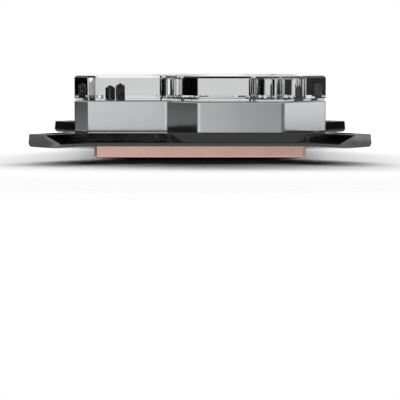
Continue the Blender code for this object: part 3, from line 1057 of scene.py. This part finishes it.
@dataclass
class ColdPlate:
    """Copper plate: slab, island and seal groove, with a field of fins on top."""

    stack: Stack
    screws: ScrewPlan
    seal: SealSeat
    size: Pair = (66.5, 56.0)
    corner: float = 0.9
    edge: float = 0.3
    seat_edge: float = 0.2
    island: Pair = (44.0, 33.0)
    island_radius: float = 4.0
    island_root: float = 0.01
    fin_field: Pair = (33.0, 22.0)
    fin_pitch: float = 1.1
    fin_width: float = 0.55
    fin_root: float = 0.1
    ledge: float = 3.9

    def outline(self, inset: float) -> list[Point]:
        """Draw the slab's outline, with cut corners.

        Args:
            inset: How far it is moved inwards.

        Returns:
            The outline.
        """
        half_x, half_y = self.size[0] / 2 - inset, self.size[1] / 2 - inset
        leg = self.corner
        return [(-half_x + leg, -half_y), (half_x - leg, -half_y), (half_x, -half_y + leg),
                (half_x, half_y - leg), (half_x - leg, half_y), (-half_x + leg, half_y),
                (-half_x, half_y - leg), (-half_x, -half_y + leg)]

    def countersink(self, place: Point) -> Shape:
        """Cut the seat of a flat screw head, with its hole.

        Args:
            place: The screw's axis along X and Y.

        Returns:
            The cutter.
        """
        screws, edge = self.screws, self.seat_edge
        wide, low = screws.head + screws.clearance, screws.sink - self.stack.gap / 2
        profile = [(wide + 2 * edge, -OVERCUT), (wide + edge, -SLIVER), (wide, edge), (wide, low),
                   (screws.hole, low + screws.head_height), (screws.hole, self.stack.island_top)]
        return turned(*place, profile, screws.seat_sides)

    def seal_course(self, grow: float = 0.0) -> list[Point]:
        """Return the seal's course, midway along the ledge round the fins, widened on every side."""
        size = (self.island[0] - self.ledge + 2 * grow, self.island[1] - self.ledge + 2 * grow)
        return rounded_box(size, self.island_radius - self.ledge / 2 + grow)

    def build(self, finishes: Finishes) -> None:
        """Build the plate, its fins and its seal.

        Args:
            finishes: The finishes.
        """
        slab, top = self.stack.slab, self.stack.island_top
        block = skin([(self.outline(self.edge), 0.0), (self.outline(0.0), self.edge),
                      (self.outline(0.0), slab - self.edge), (self.outline(self.edge), slab)])
        plate = carved("cold_plate_body", block, [self.countersink(place) for place in self.screws.places])
        raised = rounded_box(self.island, self.island_radius)
        island = carved("cold_plate_island", skin([(raised, slab - self.island_root), (raised, top)]),
                        [self.seal.groove(self.seal_course, top)])
        finish_piece(plate, finishes.copper, Slot.COPPER, ["cold_plate"])
        finish_piece(island, finishes.copper, Slot.COPPER, [])
        finish_piece(self.fins(finishes.copper), finishes.copper, Slot.COPPER, [])
        self.seal.build("cold_plate_seal_ring", self.seal_course(), top, "cold_plate_seal", finishes)

    def fins(self, copper: bpy.types.Material) -> bpy.types.Object:
        """Grow the fin field, one fin repeated along X by Geometry Nodes.

        Args:
            copper: The fins' finish.

        Returns:
            The fins as one piece.
        """
        tall = self.stack.fin + self.fin_root
        graph = GrownPiece("cold_plate_fins")
        pitch = graph.size("Fin Pitch", self.fin_pitch)
        width = graph.size("Fin Width", self.fin_width)
        length = graph.size("Fin Length", self.fin_field[1])
        height = graph.size("Fin Height", tall)
        middle = graph.size("Fin Middle", self.stack.fin_top - tall / 2)
        count = graph.number("Fin Count", int(self.fin_field[0] / self.fin_pitch))
        finish = graph.material("Copper", copper)
        fin = graph.add("GeometryNodeMeshCube", {"Size": graph.vector(X=width, Y=length, Z=height)})
        first = graph.times(graph.minus(count, 1.0), graph.times(pitch, -0.5))
        inputs = {"Count": count, "Start Location": graph.vector(X=first), "Offset": graph.vector(X=pitch)}
        line = graph.add("GeometryNodeMeshLine", inputs, mode="OFFSET")
        row = graph.repeated(line.outputs[0], fin.outputs[0])
        graph.close(graph.moved(row, graph.vector(Z=middle)), finish)
        return graph.grow(bmesh.new())


@dataclass
class FlowRoom:
    """Plan sizes of the openings over the copper island, which bracket, frame and upper seal share."""

    window: Pair = (44.5, 33.5)
    window_radius: float = 4.25
    throat: Pair = (36.2, 25.2)
    cavity: Pair = (49.8, 29.6)
    radius: float = 3.0
    seal_left: float = -26.6
    seal_right: float = 30.6
    seal_half_y: float = 16.5
    seal_corner: float = 4.7

    def island_window(self) -> list[Point]:
        """Return the outline of the opening that the copper island stands in."""
        return rounded_box(self.window, self.window_radius)

    def seal_course(self, grow: float = 0.0) -> list[Point]:
        """Return the upper seal's course, widened by an amount on every side."""
        size = (self.seal_right - self.seal_left + 2 * grow, 2 * (self.seal_half_y + grow))
        return rounded_box(size, self.seal_corner + grow, (self.seal_left + self.seal_right) / 2)


@dataclass
class Bracket:
    """Folded bracket: a flat top with sloping skirts and four slotted arms, one quarter mirrored."""

    stack: Stack
    screws: ScrewPlan
    room: FlowRoom
    rim_half_y: float = 40.6
    rim_corner_x: float = 33.3
    rim_tip: Point = (41.7, 48.2)
    step: Point = (47.36, 44.2)
    tip: Point = (52.5, 39.06)
    flank_half_x: float = 36.0
    skirt_run: float = 6.3
    skirt_drop: float = 2.6
    rim_land: float = 1.25
    inner_run: float = 2.2
    undercut: float = 2.2
    flank_land: float = 0.85
    flank_undercut: float = 0.9
    flank_lean: float = 0.35
    fold: float = 0.35
    rim_round: float = 0.3
    fold_steps: int = 4
    slot_size: Pair = (9.0, 4.2)
    slot_inset: float = 4.4
    slot_from_tip: float = 8.0
    slot_mouth: Stops = ((0.0, -0.2), (0.25, 0.05), (0.6, 0.4))
    slot_steps: int = 12
    end_slack: float = 0.1
    end_facing: float = 0.98
    quadrants: tuple[tuple[int, int], ...] = ((1, 1), (-1, 1), (-1, -1), (1, -1))

    @property
    def outward(self) -> Vector:
        """Direction in which the first quarter's arm runs."""
        return Vector((1.0, 1.0)).normalized()

    @property
    def rim(self) -> float:
        """Height of the rim, at the foot of the skirts."""
        return self.stack.bracket_top - self.skirt_drop

    @staticmethod
    def meet(start: Vector, along: Vector, other: Vector, across: Vector) -> Vector:
        """Return the crossing of two lines, each given by a point and a direction."""
        return start + along * ((other - start).cross(across) / along.cross(across))

    def quarter(self, skirt: float, flank: float, end_wall: float = 0.0) -> list[Vector]:
        """Draw one quarter's outline, from the end edge to the flank.

        Args:
            skirt: Inset of the skirted edges.
            flank: Inset of the flanged edges.
            end_wall: How far a hollow's outline stops short of the arm's end.

        Returns:
            The quarter's points.
        """
        corner = Vector((self.rim_corner_x, self.rim_half_y))
        tip, step, rim_tip = Vector(self.tip), Vector(self.step), Vector(self.rim_tip)
        arm = (rim_tip - corner).normalized()
        side = self.outward
        skirt_point = corner + Vector((arm.y, -arm.x)) * skirt
        flank_point = tip + Vector((-side.y, side.x)) * flank
        edge = Vector((0.0, self.rim_half_y - skirt))
        first = self.meet(edge, Vector((1.0, 0.0)), skirt_point, arm)
        last = self.meet(flank_point, side, Vector((self.flank_half_x - flank, 0.0)), Vector((0.0, 1.0)))
        if end_wall:
            end = tip - side * end_wall
            return [first, self.meet(skirt_point, arm, end, step - tip),
                    self.meet(flank_point, side, end, step - tip), last]
        return [first, self.meet(skirt_point, arm, step, rim_tip - step), step,
                self.meet(flank_point, side, tip, step - tip), last]

    def mirrored(self, quarter: Sequence[Vector]) -> list[Point]:
        """Close the outline of all four quarters, anticlockwise.

        Args:
            quarter: The first quarter's points.

        Returns:
            The whole outline.
        """
        loop: list[Point] = []
        for side_x, side_y in self.quadrants:
            points = [(side_x * point.x, side_y * point.y) for point in quarter]
            loop += points[::-1] if side_x * side_y > 0 else points
        return loop

    def curve_between(self, start: Point, corner: Point, end: Point) -> list[Point]:
        """Round a fold in the bracket's profile.

        Args:
            start: Inset and height where the fold starts.
            corner: Where the two faces would meet.
            end: Inset and height where the fold ends.

        Returns:
            Inset and height of each point along the fold.
        """
        marks = []
        for step in range(self.fold_steps + 1):
            share = step / self.fold_steps
            inset, height = (start[axis] * (1 - share) ** 2 + 2 * corner[axis] * share * (1 - share)
                             + end[axis] * share ** 2 for axis in (0, 1))
            marks.append((inset, height))
        return marks

    def outside(self) -> Shape:
        """Build the outer skin, with rounded rim and folds, and flanks that lean inwards.

        Returns:
            The skin, closed below.
        """
        rim, top, turn = self.rim, self.stack.bracket_top, self.rim_round
        slope = self.skirt_drop / self.skirt_run
        under = self.undercut / self.rim_land
        low = rim - self.rim_land
        break_inset = self.undercut * (1 - self.flank_land / self.rim_land)
        fold_low = (self.skirt_run - self.fold, top - self.fold * slope)
        marks = [(break_inset, low + self.flank_land)]
        marks += self.curve_between((turn, rim - turn / under), (0.0, rim), (turn, rim + turn * slope))
        marks += self.curve_between(fold_low, (self.skirt_run, top), (self.skirt_run + self.fold, top))
        levels = [(self.mirrored(self.quarter(self.undercut, self.flank_undercut)), low)]
        for inset, height in marks:
            lean = self.flank_lean * max(0.0, height - rim) / self.skirt_drop
            levels.append((self.mirrored(self.quarter(inset, lean)), height))
        return skin(levels)

    def slot(self, side_x: int, side_y: int) -> Shape:
        """Cut the slot of one arm, with its mouth chamfered at the top.

        Args:
            side_x: 1 for a right arm, -1 for a left one.
            side_y: 1 for a rear arm, -1 for a front one.

        Returns:
            The cutter.
        """
        along = self.outward
        across = Vector((-along.y, along.x))
        middle = Vector(self.tip) - along * self.slot_from_tip + across * self.slot_inset
        length, width = self.slot_size
        top = self.stack.bracket_top
        profile = [(0.0, top - self.stack.sheet - OVERCUT)]
        profile += [(grow, top + rise) for grow, rise in self.slot_mouth]
        levels: list[Level] = []
        for grow, height in profile:
            points: list[Point] = []
            for end in (1, -1):
                for step in range(self.slot_steps + 1):
                    angle = math.radians(-90 + 180 * step / self.slot_steps)
                    reach = (length - width) / 2 + (width / 2 + grow) * math.cos(angle)
                    rise = (width / 2 + grow) * math.sin(angle)
                    spot = middle + along * end * reach + across * end * rise
                    points.append((side_x * spot.x, side_y * spot.y))
            levels.append((points, height))
        return skin(levels)

    def hollow(self) -> Shape:
        """Cut the room under the flat top, between skirts, flanks and the arms' ends.

        Returns:
            The cutter.
        """
        sheet, under, dip = self.stack.sheet, self.stack.bracket_under, OVERCUT / 2
        low = self.rim - self.rim_land
        inner = self.skirt_run + self.inner_run
        fall = (inner - self.undercut) / (under - low)
        wall = sheet + (Vector(self.tip) - Vector(self.rim_tip)).dot(self.outward)
        return skin([(self.mirrored(self.quarter(self.undercut - fall * dip, sheet, wall)), low - dip),
                     (self.mirrored(self.quarter(inner, sheet, wall)), under)])

    def build(self, finishes: Finishes) -> None:
        """Build the bracket.

        Args:
            finishes: The finishes.
        """
        under, top = self.stack.bracket_under, self.stack.bracket_top
        opening = self.room.island_window()
        cutters = [self.hollow(), skin([(opening, under - OVERCUT), (opening, top + OVERCUT)])]
        cutters += [self.slot(*quadrant) for quadrant in self.quadrants]
        cutters += [self.screws.through(place, under, top) for place in self.screws.places]
        shell = carved("bracket_shell", self.outside(), cutters)
        finish_piece(shell, finishes.coat, Slot.BLACK_STEEL, ["mounting_bracket"])
        finish_faces(shell, finishes.cut_edge, self.is_cut_end)

    def is_cut_end(self, face: bpy.types.MeshPolygon) -> bool:
        """Tell whether a face lies on one of the sheared ends of an arm.

        Args:
            face: A face of the bracket.

        Returns:
            True where it does.
        """
        tip, step, rim_tip = Vector(self.tip), Vector(self.step), Vector(self.rim_tip)
        normal = Vector((abs(face.normal.x), abs(face.normal.y)))
        centre = Vector((abs(face.center.x), abs(face.center.y))) / MM
        for start, end in ((tip, step), (step, rim_tip)):
            along = (end - start).normalized()
            across = Vector((along.y, -along.x))
            off_line = abs((centre - start).dot(across))
            upright = max(off_line, abs(face.normal.z)) < self.end_slack
            if upright and abs(normal.dot(across)) > self.end_facing:
                return True
        return False


@dataclass
class PlatedFrame:
    """Satin plated frame with its pocket, throat, seal groove and screw holes."""

    stack: Stack
    screws: ScrewPlan
    outline: BlockOutline
    room: FlowRoom
    seal: SealSeat
    foot_round: float = 0.15
    top_round: float = 0.3
    throat_rise: float = 0.5
    hole_mouth: Stops = ((0.0, -0.2), (0.25, 0.05), (0.8, 0.6))

    def build(self, finishes: Finishes) -> None:
        """Build the frame and its seal.

        Args:
            finishes: The finishes.
        """
        stack, room, screws = self.stack, self.room, self.screws
        low, top = stack.body_bottom, stack.body_top
        levels = arc_levels(self.outline.at, low, self.foot_round, True)
        levels += arc_levels(self.outline.at, top, self.top_round, False)
        recess = room.island_window()
        throat = rounded_box(room.throat, room.radius)
        cavity = rounded_box(room.cavity, room.radius)
        cutters = [skin([(recess, low - OVERCUT), (recess, stack.island_top + stack.gap)]),
                   skin([(throat, stack.island_top), (throat, stack.fin_top + self.throat_rise)]),
                   skin([(cavity, stack.fin_top), (cavity, top + OVERCUT)]),
                   self.seal.groove(room.seal_course, top)]
        cutters += [screws.through(place, low, top, self.hole_mouth) for place in screws.cover_places]
        cutters += [screws.drilled(place, screws.hole, low, screws.base_bite)
                    for place in screws.base_places]
        shell = carved("frame_shell", skin(levels), cutters)
        finish_piece(shell, finishes.plate, Slot.PLATED, ["body_frame"])
        self.seal.build("cover_seal_ring", room.seal_course(), top, "cover_seal", finishes)


@dataclass
class ClearCover:
    """Polished clear cover with two ports and blind screw holes."""

    stack: Stack
    screws: ScrewPlan
    outline: BlockOutline
    ports: tuple[float, ...] = (-6.5, 22.1)
    port_y: float = -9.0
    port_sides: int = 72
    bore: float = 6.5
    bore_edge: float = 0.35
    seat: float = 9.6
    seat_depth: float = 0.8
    seat_edge: float = 0.15
    screw_hole: float = 1.55
    wall_slack: float = 0.02
    chamfer: float = 0.6

    def port(self, x: float) -> Shape:
        """Cut one port's bore with its seat and entry chamfers.

        Args:
            x: Its axis along X.

        Returns:
            The cutter.
        """
        low, top, edge = self.stack.cover_bottom, self.stack.cover_top, self.seat_edge
        floor = top - self.seat_depth
        profile = [(self.bore, low - OVERCUT), (self.bore, floor - self.bore_edge),
                   (self.bore + self.bore_edge, floor), (self.seat - edge, floor),
                   (self.seat, floor + edge), (self.seat, top - edge),
                   (self.seat + edge, top + SLIVER), (self.seat + 4 * edge, top + 3 * edge)]
        return turned(x, self.port_y, profile, self.port_sides)

    def build(self, finishes: Finishes) -> None:
        """Build the cover, which lets the lamp's light through to what it covers.

        Args:
            finishes: The finishes.
        """
        low, top, screws = self.stack.cover_bottom, self.stack.cover_top, self.screws
        inner, outer = self.outline.at(self.chamfer), self.outline.at(0.0)
        block = skin([(inner, low), (outer, low + self.chamfer), (outer, top - self.chamfer), (inner, top)])
        cutters = [self.port(x) for x in self.ports]
        cutters += [screws.drilled(place, self.screw_hole, low, screws.cover_bite)
                    for place in screws.cover_places]
        cover = carved("cover_block", block, cutters)
        finish_piece(cover, finishes.acrylic, Slot.ACRYLIC, ["top_cover"])
        # The screw holes' walls get the painted shade finish.
        finish_faces(cover, finishes.tapped, self.is_tapped)
        cover.visible_shadow = False

    def is_tapped(self, face: bpy.types.MeshPolygon) -> bool:
        """Tell whether a face lies on the wall of a screw hole.

        Args:
            face: A face of the cover.

        Returns:
            True where it does.
        """
        centre = face.center / MM
        reach = min(math.dist(centre[:2], place) for place in self.screws.cover_places)
        inside = self.stack.cover_bottom < centre.z < self.stack.cover_top - self.chamfer
        return inside and reach < self.screw_hole + self.wall_slack


@dataclass
class ScrewSet:
    """Flat-head screws of one kind, repeated at their places by Geometry Nodes."""

    kind: str
    plan: ScrewPlan
    places: Stops
    tip: float
    sides: int = 20
    thread_pitch: float = 0.5
    thread_depth: float = 0.12
    socket_sides: int = 6
    socket_radius: float = 1.1
    socket_depth: float = 1.1
    crease: float = 40.0

    def shaft(self, graph: GrownPiece, sink: Socket) -> Socket:
        """Shape a cylinder with rows of points into head, thread and tip.

        Args:
            graph: The tree.
            sink: How far the head is sunk.

        Returns:
            The screw, without its socket.
        """
        head = graph.size("Head Radius", self.plan.head)
        head_height = graph.size("Head Height", self.plan.head_height)
        shank = graph.size("Shank Radius", self.plan.shank)
        length = graph.size("Screw Length", self.tip - self.plan.sink)
        pitch = graph.size("Thread Pitch", self.thread_pitch)
        depth = graph.size("Thread Depth", self.thread_depth)
        sides = graph.number("Sides", self.sides)
        rows = graph.plus(graph.math("ROUND", graph.over(length, graph.times(pitch, 0.25))), 1.0)
        inputs = {"Vertices": sides, "Side Segments": rows, "Radius": shank, "Depth": length}
        cylinder = graph.add("GeometryNodeMeshCylinder", inputs)
        place = graph.add("GeometryNodeInputPosition").outputs[0]
        parts = graph.add("ShaderNodeSeparateXYZ", {"Vector": place}).outputs
        along = graph.plus(parts["Z"], graph.times(length, 0.5))
        wave = graph.math("PINGPONG", graph.over(along, pitch), 0.5)
        thread = graph.minus(shank, graph.times(graph.times(wave, 2.0), depth))
        cone = graph.minus(head, graph.times(graph.over(along, head_height), graph.minus(head, shank)))
        tip_room = graph.plus(graph.minus(length, along), graph.times(shank, 0.5))
        widest = graph.math("MAXIMUM", thread, cone)
        radius = graph.math("MINIMUM", widest, graph.math("MINIMUM", tip_room, head))
        share = graph.over(radius, shank)
        spot = graph.vector(X=graph.times(parts["X"], share), Y=graph.times(parts["Y"], share),
                            Z=graph.plus(along, sink))
        inputs = {"Geometry": cylinder.outputs[0], "Position": spot}
        return graph.add("GeometryNodeSetPosition", inputs).outputs[0]

    def socket(self, graph: GrownPiece, sink: Socket) -> Socket:
        """Shape the bar that cuts the head's socket.

        Args:
            graph: The tree.
            sink: How far the head is sunk.

        Returns:
            The bar, half of it in the head.
        """
        radius = graph.size("Socket Radius", self.socket_radius)
        depth = graph.size("Socket Depth", self.socket_depth)
        inputs = {"Vertices": self.socket_sides, "Radius": radius, "Depth": graph.times(depth, 2.0)}
        bar = graph.add("GeometryNodeMeshCylinder", inputs)
        return graph.moved(bar.outputs[0], graph.vector(Z=sink))

    def build(self, finishes: Finishes) -> None:
        """Build the set.

        Args:
            finishes: The finishes.
        """
        graph = GrownPiece(f"{self.kind}_set")
        sink = graph.size("Head Sink", self.plan.sink)
        finish = graph.material("Screw Finish", finishes.screw_steel)
        cut = graph.add("GeometryNodeMeshBoolean", operation="DIFFERENCE", solver="EXACT")
        graph.feed(cut.inputs["Mesh 1"], self.shaft(graph, sink))
        graph.feed(cut.inputs["Mesh 2"], self.socket(graph, sink))
        points = graph.add("GeometryNodeMeshToPoints", {"Mesh": graph.inlet.outputs[0]})
        graph.close(graph.repeated(points.outputs[0], cut.outputs[0]), finish)
        base = bmesh.new()
        for x, y in self.places:
            base.verts.new((x, y, 0.0))
        nodes = [f"{self.kind}_{number + 1}" for number in range(len(self.places))]
        finish_piece(graph.grow(base), finishes.screw_steel, Slot.SCREW, nodes, self.crease)


@dataclass(frozen=True)
class Outlook:
    """The direction in which a mirrored ray leaves, as sockets of the world's tree."""

    graph: Graph
    side: Socket
    depth: Socket
    height: Socket

    def panel(self, place: Socket, stops: Stops) -> Socket:
        """Find the tone of a panel.

        Args:
            place: The direction's part along the panel, from -1 to 1.
            stops: Places on the panel, with their tones.

        Returns:
            The tone.
        """
        share = self.graph.math("MULTIPLY_ADD", place, 0.5, 0.5)
        places = [(0.5 + 0.5 * spot, grey(tone)) for spot, tone in stops]
        return self.graph.ramp(share, places, eased=False)

    def band(self, place: Socket, stops: Stops) -> Socket:
        """Find the tone of a narrow panel, which keeps its end tones past its ends.

        Args:
            place: The direction's part across the panel.
            stops: Places from one end to the other, with their tones.

        Returns:
            The tone.
        """
        first, last = stops[0][0], stops[-1][0]
        share = self.graph.between(place, first, last)
        places = [((spot - first) / (last - first), grey(tone)) for spot, tone in stops]
        return self.graph.ramp(share, places, eased=False)


@dataclass(frozen=True)
class Surroundings:
    """What polished faces mirror: panels of light round the block, each given by direction.

    Front and rear run along the direction's X part, from -1 at the left to 1 at the right, while sky and
    ground run along its Y part, from front to rear. The ends and the bands follow the height, its Z part.
    """

    front_left_end: Stops = ((-1.0, 0.4), (-0.9, 0.45), (-0.6, 0.85))
    front_high: Stops = ((-0.12, 0.83), (-0.076, 0.81), (-0.029, 0.70), (0.003, 0.58), (0.025, 0.48),
                         (0.054, 0.36), (0.1, 0.3), (0.5, 0.13))
    front_low: Stops = ((-0.12, 0.67), (-0.076, 0.665), (-0.029, 0.60), (0.003, 0.53), (0.025, 0.475),
                        (0.054, 0.42), (0.1, 0.33), (0.5, 0.16))
    front_right_end: Stops = ((0.9, 0.27), (1.0, 0.27))
    front_heights: Pair = (-0.036, -0.058)
    left: Stops = ((0.03, 0.0), (-0.02, 0.07), (-0.036, 0.07), (-0.058, 0.28), (-0.062, 0.19),
                   (-0.068, 0.18), (-0.0695, 0.22))
    right: Stops = ((0.03, 0.0), (-0.02, 1.0), (-0.036, 1.0), (-0.0575, 0.74), (-0.059, 0.47),
                    (-0.0635, 0.47), (-0.064, 0.19), (-0.0685, 0.19), (-0.0695, 0.28))
    end_reach: Pair = (0.981, 0.99)
    rear_low: Stops = ((-1.0, 0.0), (-0.34, 0.0), (-0.2, 0.62), (0.2, 0.62), (0.34, 0.0), (0.54, 0.0),
                       (0.6, 0.9), (0.74, 0.9), (0.8, 0.0), (1.0, 0.0))
    rear_high: Stops = ((-1.0, 0.0), (-0.34, 0.0), (-0.2, 1.0), (0.2, 1.0), (0.34, 0.0), (1.0, 0.0))
    rear_steepness: float = 60.0
    rear_wall: Stops = ((0.042, 0.0), (0.052, 1.0))
    rear_wall_tone: float = 0.13
    side_steepness: float = 6.0
    level_heights: Pair = (0.12, 0.3)
    sky: Stops = ((-1.0, 0.65), (-0.2, 0.6), (0.0, 0.4), (0.1, 0.3), (0.25, 0.003), (1.0, 0.003))
    open_heights: Stops = ((0.50, 1.0), (0.55, 0.0), (0.79, 0.0), (0.86, 1.0))
    open_sides: Stops = ((0.25, 0.0), (0.32, 1.0))
    open_tone: float = 0.6
    ground: Stops = ((-1.0, 1.0), (-0.1, 1.0), (0.1, 0.5), (1.0, 0.5))
    rear_ground_depth: float = 0.1
    rear_ground_dark: Stops = ((-0.42, 0.0), (-0.435, 1.0), (-0.53, 1.0), (-0.58, 0.0))
    rear_ground_tone: float = 0.7

    def level(self, look: Outlook) -> Socket:
        """Find the colour of what stands round the block.

        Args:
            look: The direction.

        Returns:
            The colour.
        """
        graph = look.graph
        high, low = (self.front_left_end + middle + self.front_right_end
                     for middle in (self.front_high, self.front_low))
        drop = graph.between(look.height, *self.front_heights)
        front = graph.blend(drop, look.panel(look.side, high), look.panel(look.side, low))
        lift = graph.math("MULTIPLY_ADD", look.height, self.rear_steepness, 0.5, clamp=True)
        rear_low, rear_high = look.panel(look.side, self.rear_low), look.panel(look.side, self.rear_high)
        rear = graph.blend(lift, rear_low, rear_high)
        rear = graph.blend(look.band(look.height, self.rear_wall), rear, opaque(self.rear_wall_tone))
        behind = graph.math("MULTIPLY_ADD", look.depth, self.side_steepness, 0.5, clamp=True)
        tone = graph.blend(behind, front, rear)
        for end, tones in ((-1.0, self.left), (1.0, self.right)):
            near = graph.between(graph.times(look.side, end), *self.end_reach)
            tone = graph.blend(near, tone, look.band(look.height, tones))
        return tone

    def below(self, look: Outlook) -> Socket:
        """Find the colour of the ground, with a dark band behind the block.

        Args:
            look: The direction.

        Returns:
            The colour.
        """
        graph = look.graph
        dark = look.band(look.height, self.rear_ground_dark)
        rear = graph.blend(dark, opaque(self.rear_ground_tone), opaque(0.0))
        is_rear = graph.math("GREATER_THAN", look.depth, self.rear_ground_depth)
        return graph.blend(is_rear, look.panel(look.depth, self.ground), rear)

    def above(self, look: Outlook) -> Socket:
        """Find the colour of the sky, which is dark only where the front skirt mirrors it.

        Args:
            look: The direction.

        Returns:
            The colour.
        """
        graph = look.graph
        open_height = look.band(look.height, self.open_heights)
        open_side = look.band(graph.math("ABSOLUTE", look.side), self.open_sides)
        is_open = graph.math("MAXIMUM", open_height, open_side)
        return graph.blend(is_open, look.panel(look.depth, self.sky), opaque(self.open_tone))

    def colour(self, look: Outlook) -> Socket:
        """Find the mirrored colour.

        Args:
            look: The direction.

        Returns:
            The colour.
        """
        graph = look.graph
        is_up = graph.math("GREATER_THAN", look.height, 0.0)
        dome = graph.blend(is_up, self.below(look), self.above(look))
        steep = graph.between(graph.math("ABSOLUTE", look.height), *self.level_heights, eased=True)
        return graph.blend(steep, self.level(look), dome)


@dataclass(frozen=True)
class Studio:
    """Pale floor, white background, one wide soft lamp behind the block, and the camera.

    Its sizes are in metres, apart from the lens and the sensor in millimetres, the tilt in degrees and the
    lamp's power in watts.
    """

    floor_radius: float = 1.4
    floor_sides: int = 96
    floor_tone: float = 0.86
    floor_fade: Pair = (0.10, 0.16)
    fill: float = 0.01
    camera_distance: float = 0.4669
    camera_height: float = 0.03357
    nearest: float = 0.01
    lens: float = 126.0
    sensor: float = 36.0
    tilt: float = 6.12
    lamp_place: Triple = (0.0, 0.89, 0.38)
    lamp_size: Pair = (2.8, 0.12)
    lamp_power: float = 66.0

    def camera(self) -> None:
        """Place the camera in front of the block, tilted down."""
        data = bpy.data.cameras.new("camera")
        data.lens = self.lens
        data.sensor_width = self.sensor
        data.clip_start = self.nearest
        camera = bpy.data.objects.new("camera", data)
        camera.location = (0.0, -self.camera_distance, self.camera_height)
        camera.rotation_euler = (math.radians(90.0 - self.tilt), 0.0, 0.0)
        bpy.context.scene.collection.objects.link(camera)
        bpy.context.scene.camera = camera

    def floor(self) -> None:
        """Lay a round floor that fades into the white background, and that mirrored rays pass."""
        shape = bmesh.new()
        bmesh.ops.create_circle(shape, cap_ends=True, segments=self.floor_sides,
                                radius=self.floor_radius / MM)
        disc = solid("floor", shape)
        material = bpy.data.materials.new("pale_floor")
        material.use_nodes = True
        graph = Graph(material.node_tree)
        place = graph.add("ShaderNodeTexCoord").outputs["Object"]
        reach = graph.add("ShaderNodeVectorMath", {0: place}, operation="LENGTH").outputs["Value"]
        far = graph.between(reach, *self.floor_fade, eased=True)
        path = graph.add("ShaderNodeLightPath").outputs
        mirrored = graph.math("MAXIMUM", path[Seen.GLOSSY.value], path[Seen.TRANSMISSION.value])
        hidden = graph.math("MAXIMUM", far, mirrored)
        paint = graph.add("ShaderNodeBsdfDiffuse", {"Color": opaque(self.floor_tone)}).outputs[0]
        clear = graph.add("ShaderNodeBsdfTransparent").outputs[0]
        mixed = graph.add("ShaderNodeMixShader", {0: hidden, 1: paint, 2: clear})
        graph.add("ShaderNodeOutputMaterial", {"Surface": mixed.outputs[0]})
        disc.data.materials.append(material)

    def lamp(self) -> None:
        """Hang the soft lamp behind the block, unseen by polished faces."""
        data = bpy.data.lights.new("back_lamp", "AREA")
        data.shape = "RECTANGLE"
        data.size, data.size_y = self.lamp_size
        data.energy = self.lamp_power
        lamp = bpy.data.objects.new("back_lamp", data)
        lamp.location = self.lamp_place
        lamp.rotation_euler = (Vector() - Vector(self.lamp_place)).to_track_quat("-Z", "Y").to_euler()
        lamp.visible_glossy = False
        lamp.visible_transmission = False
        bpy.context.scene.collection.objects.link(lamp)

    def world(self) -> None:
        """Fill the studio with faint light, white for the camera, with surroundings for polished faces."""
        world = bpy.data.worlds.new("studio")
        world.use_nodes = True
        bpy.context.scene.world = world
        graph = Graph(world.node_tree)
        direction = graph.add("ShaderNodeTexCoord").outputs["Generated"]
        parts = graph.add("ShaderNodeSeparateXYZ", {0: direction}).outputs
        mirror = Surroundings().colour(Outlook(graph, parts["X"], parts["Y"], parts["Z"]))
        path = graph.add("ShaderNodeLightPath").outputs
        polished = graph.math("MAXIMUM", path[Seen.GLOSSY.value], path[Seen.TRANSMISSION.value])
        unscattered = graph.math("LESS_THAN", path["Diffuse Depth"], 0.5)
        soft = graph.blend(graph.times(polished, unscattered), opaque(self.fill), mirror)
        shown = graph.blend(path[Seen.CAMERA.value], soft, opaque(1.0))
        back_light = graph.add("ShaderNodeBackground", {"Color": shown, "Strength": 1.0})
        graph.add("ShaderNodeOutputWorld", {"Surface": back_light.outputs[0]})

    def build(self) -> None:
        """Build the studio."""
        bpy.context.scene.view_settings.view_transform = "Standard"
        self.camera()
        self.floor()
        self.world()
        self.lamp()


def dress_inner_nodes(nodes: dict[str, bpy.types.Object], finishes: Finishes) -> None:
    """Give the inner CAD nodes that stay their materials.

    Args:
        nodes: The CAD nodes by name.
        finishes: The finishes.
    """
    for name, material in (("jet_plate", finishes.sheet_steel), ("flow_insert", finishes.plastic)):
        mesh = nodes[name].data
        mesh.materials.clear()
        mesh.materials.append(material)
        log.info("%s: keeps its CAD mesh", name)


def main() -> None:
    """Load the frame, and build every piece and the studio."""
    logging.basicConfig(level=logging.INFO, format="%(name)s: %(message)s")
    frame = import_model()
    finishes = Finishes.make()
    stack, screws, outline, room, seal = Stack(), ScrewPlan(), BlockOutline(), FlowRoom(), SealSeat()
    cover_tip = stack.cover_bottom + screws.cover_bite - stack.gap
    base_tip = stack.body_bottom + screws.base_bite - stack.gap
    Studio().build()
    ColdPlate(stack, screws, seal).build(finishes)
    Bracket(stack, screws, room).build(finishes)
    PlatedFrame(stack, screws, outline, room, seal).build(finishes)
    ClearCover(stack, screws, outline).build(finishes)
    ScrewSet("cover_screw", screws, screws.cover_places, cover_tip).build(finishes)
    ScrewSet("base_screw", screws, screws.base_places, base_tip).build(finishes)
    dress_inner_nodes(frame["nodes"], finishes)


if __name__ == "__main__":
    main()
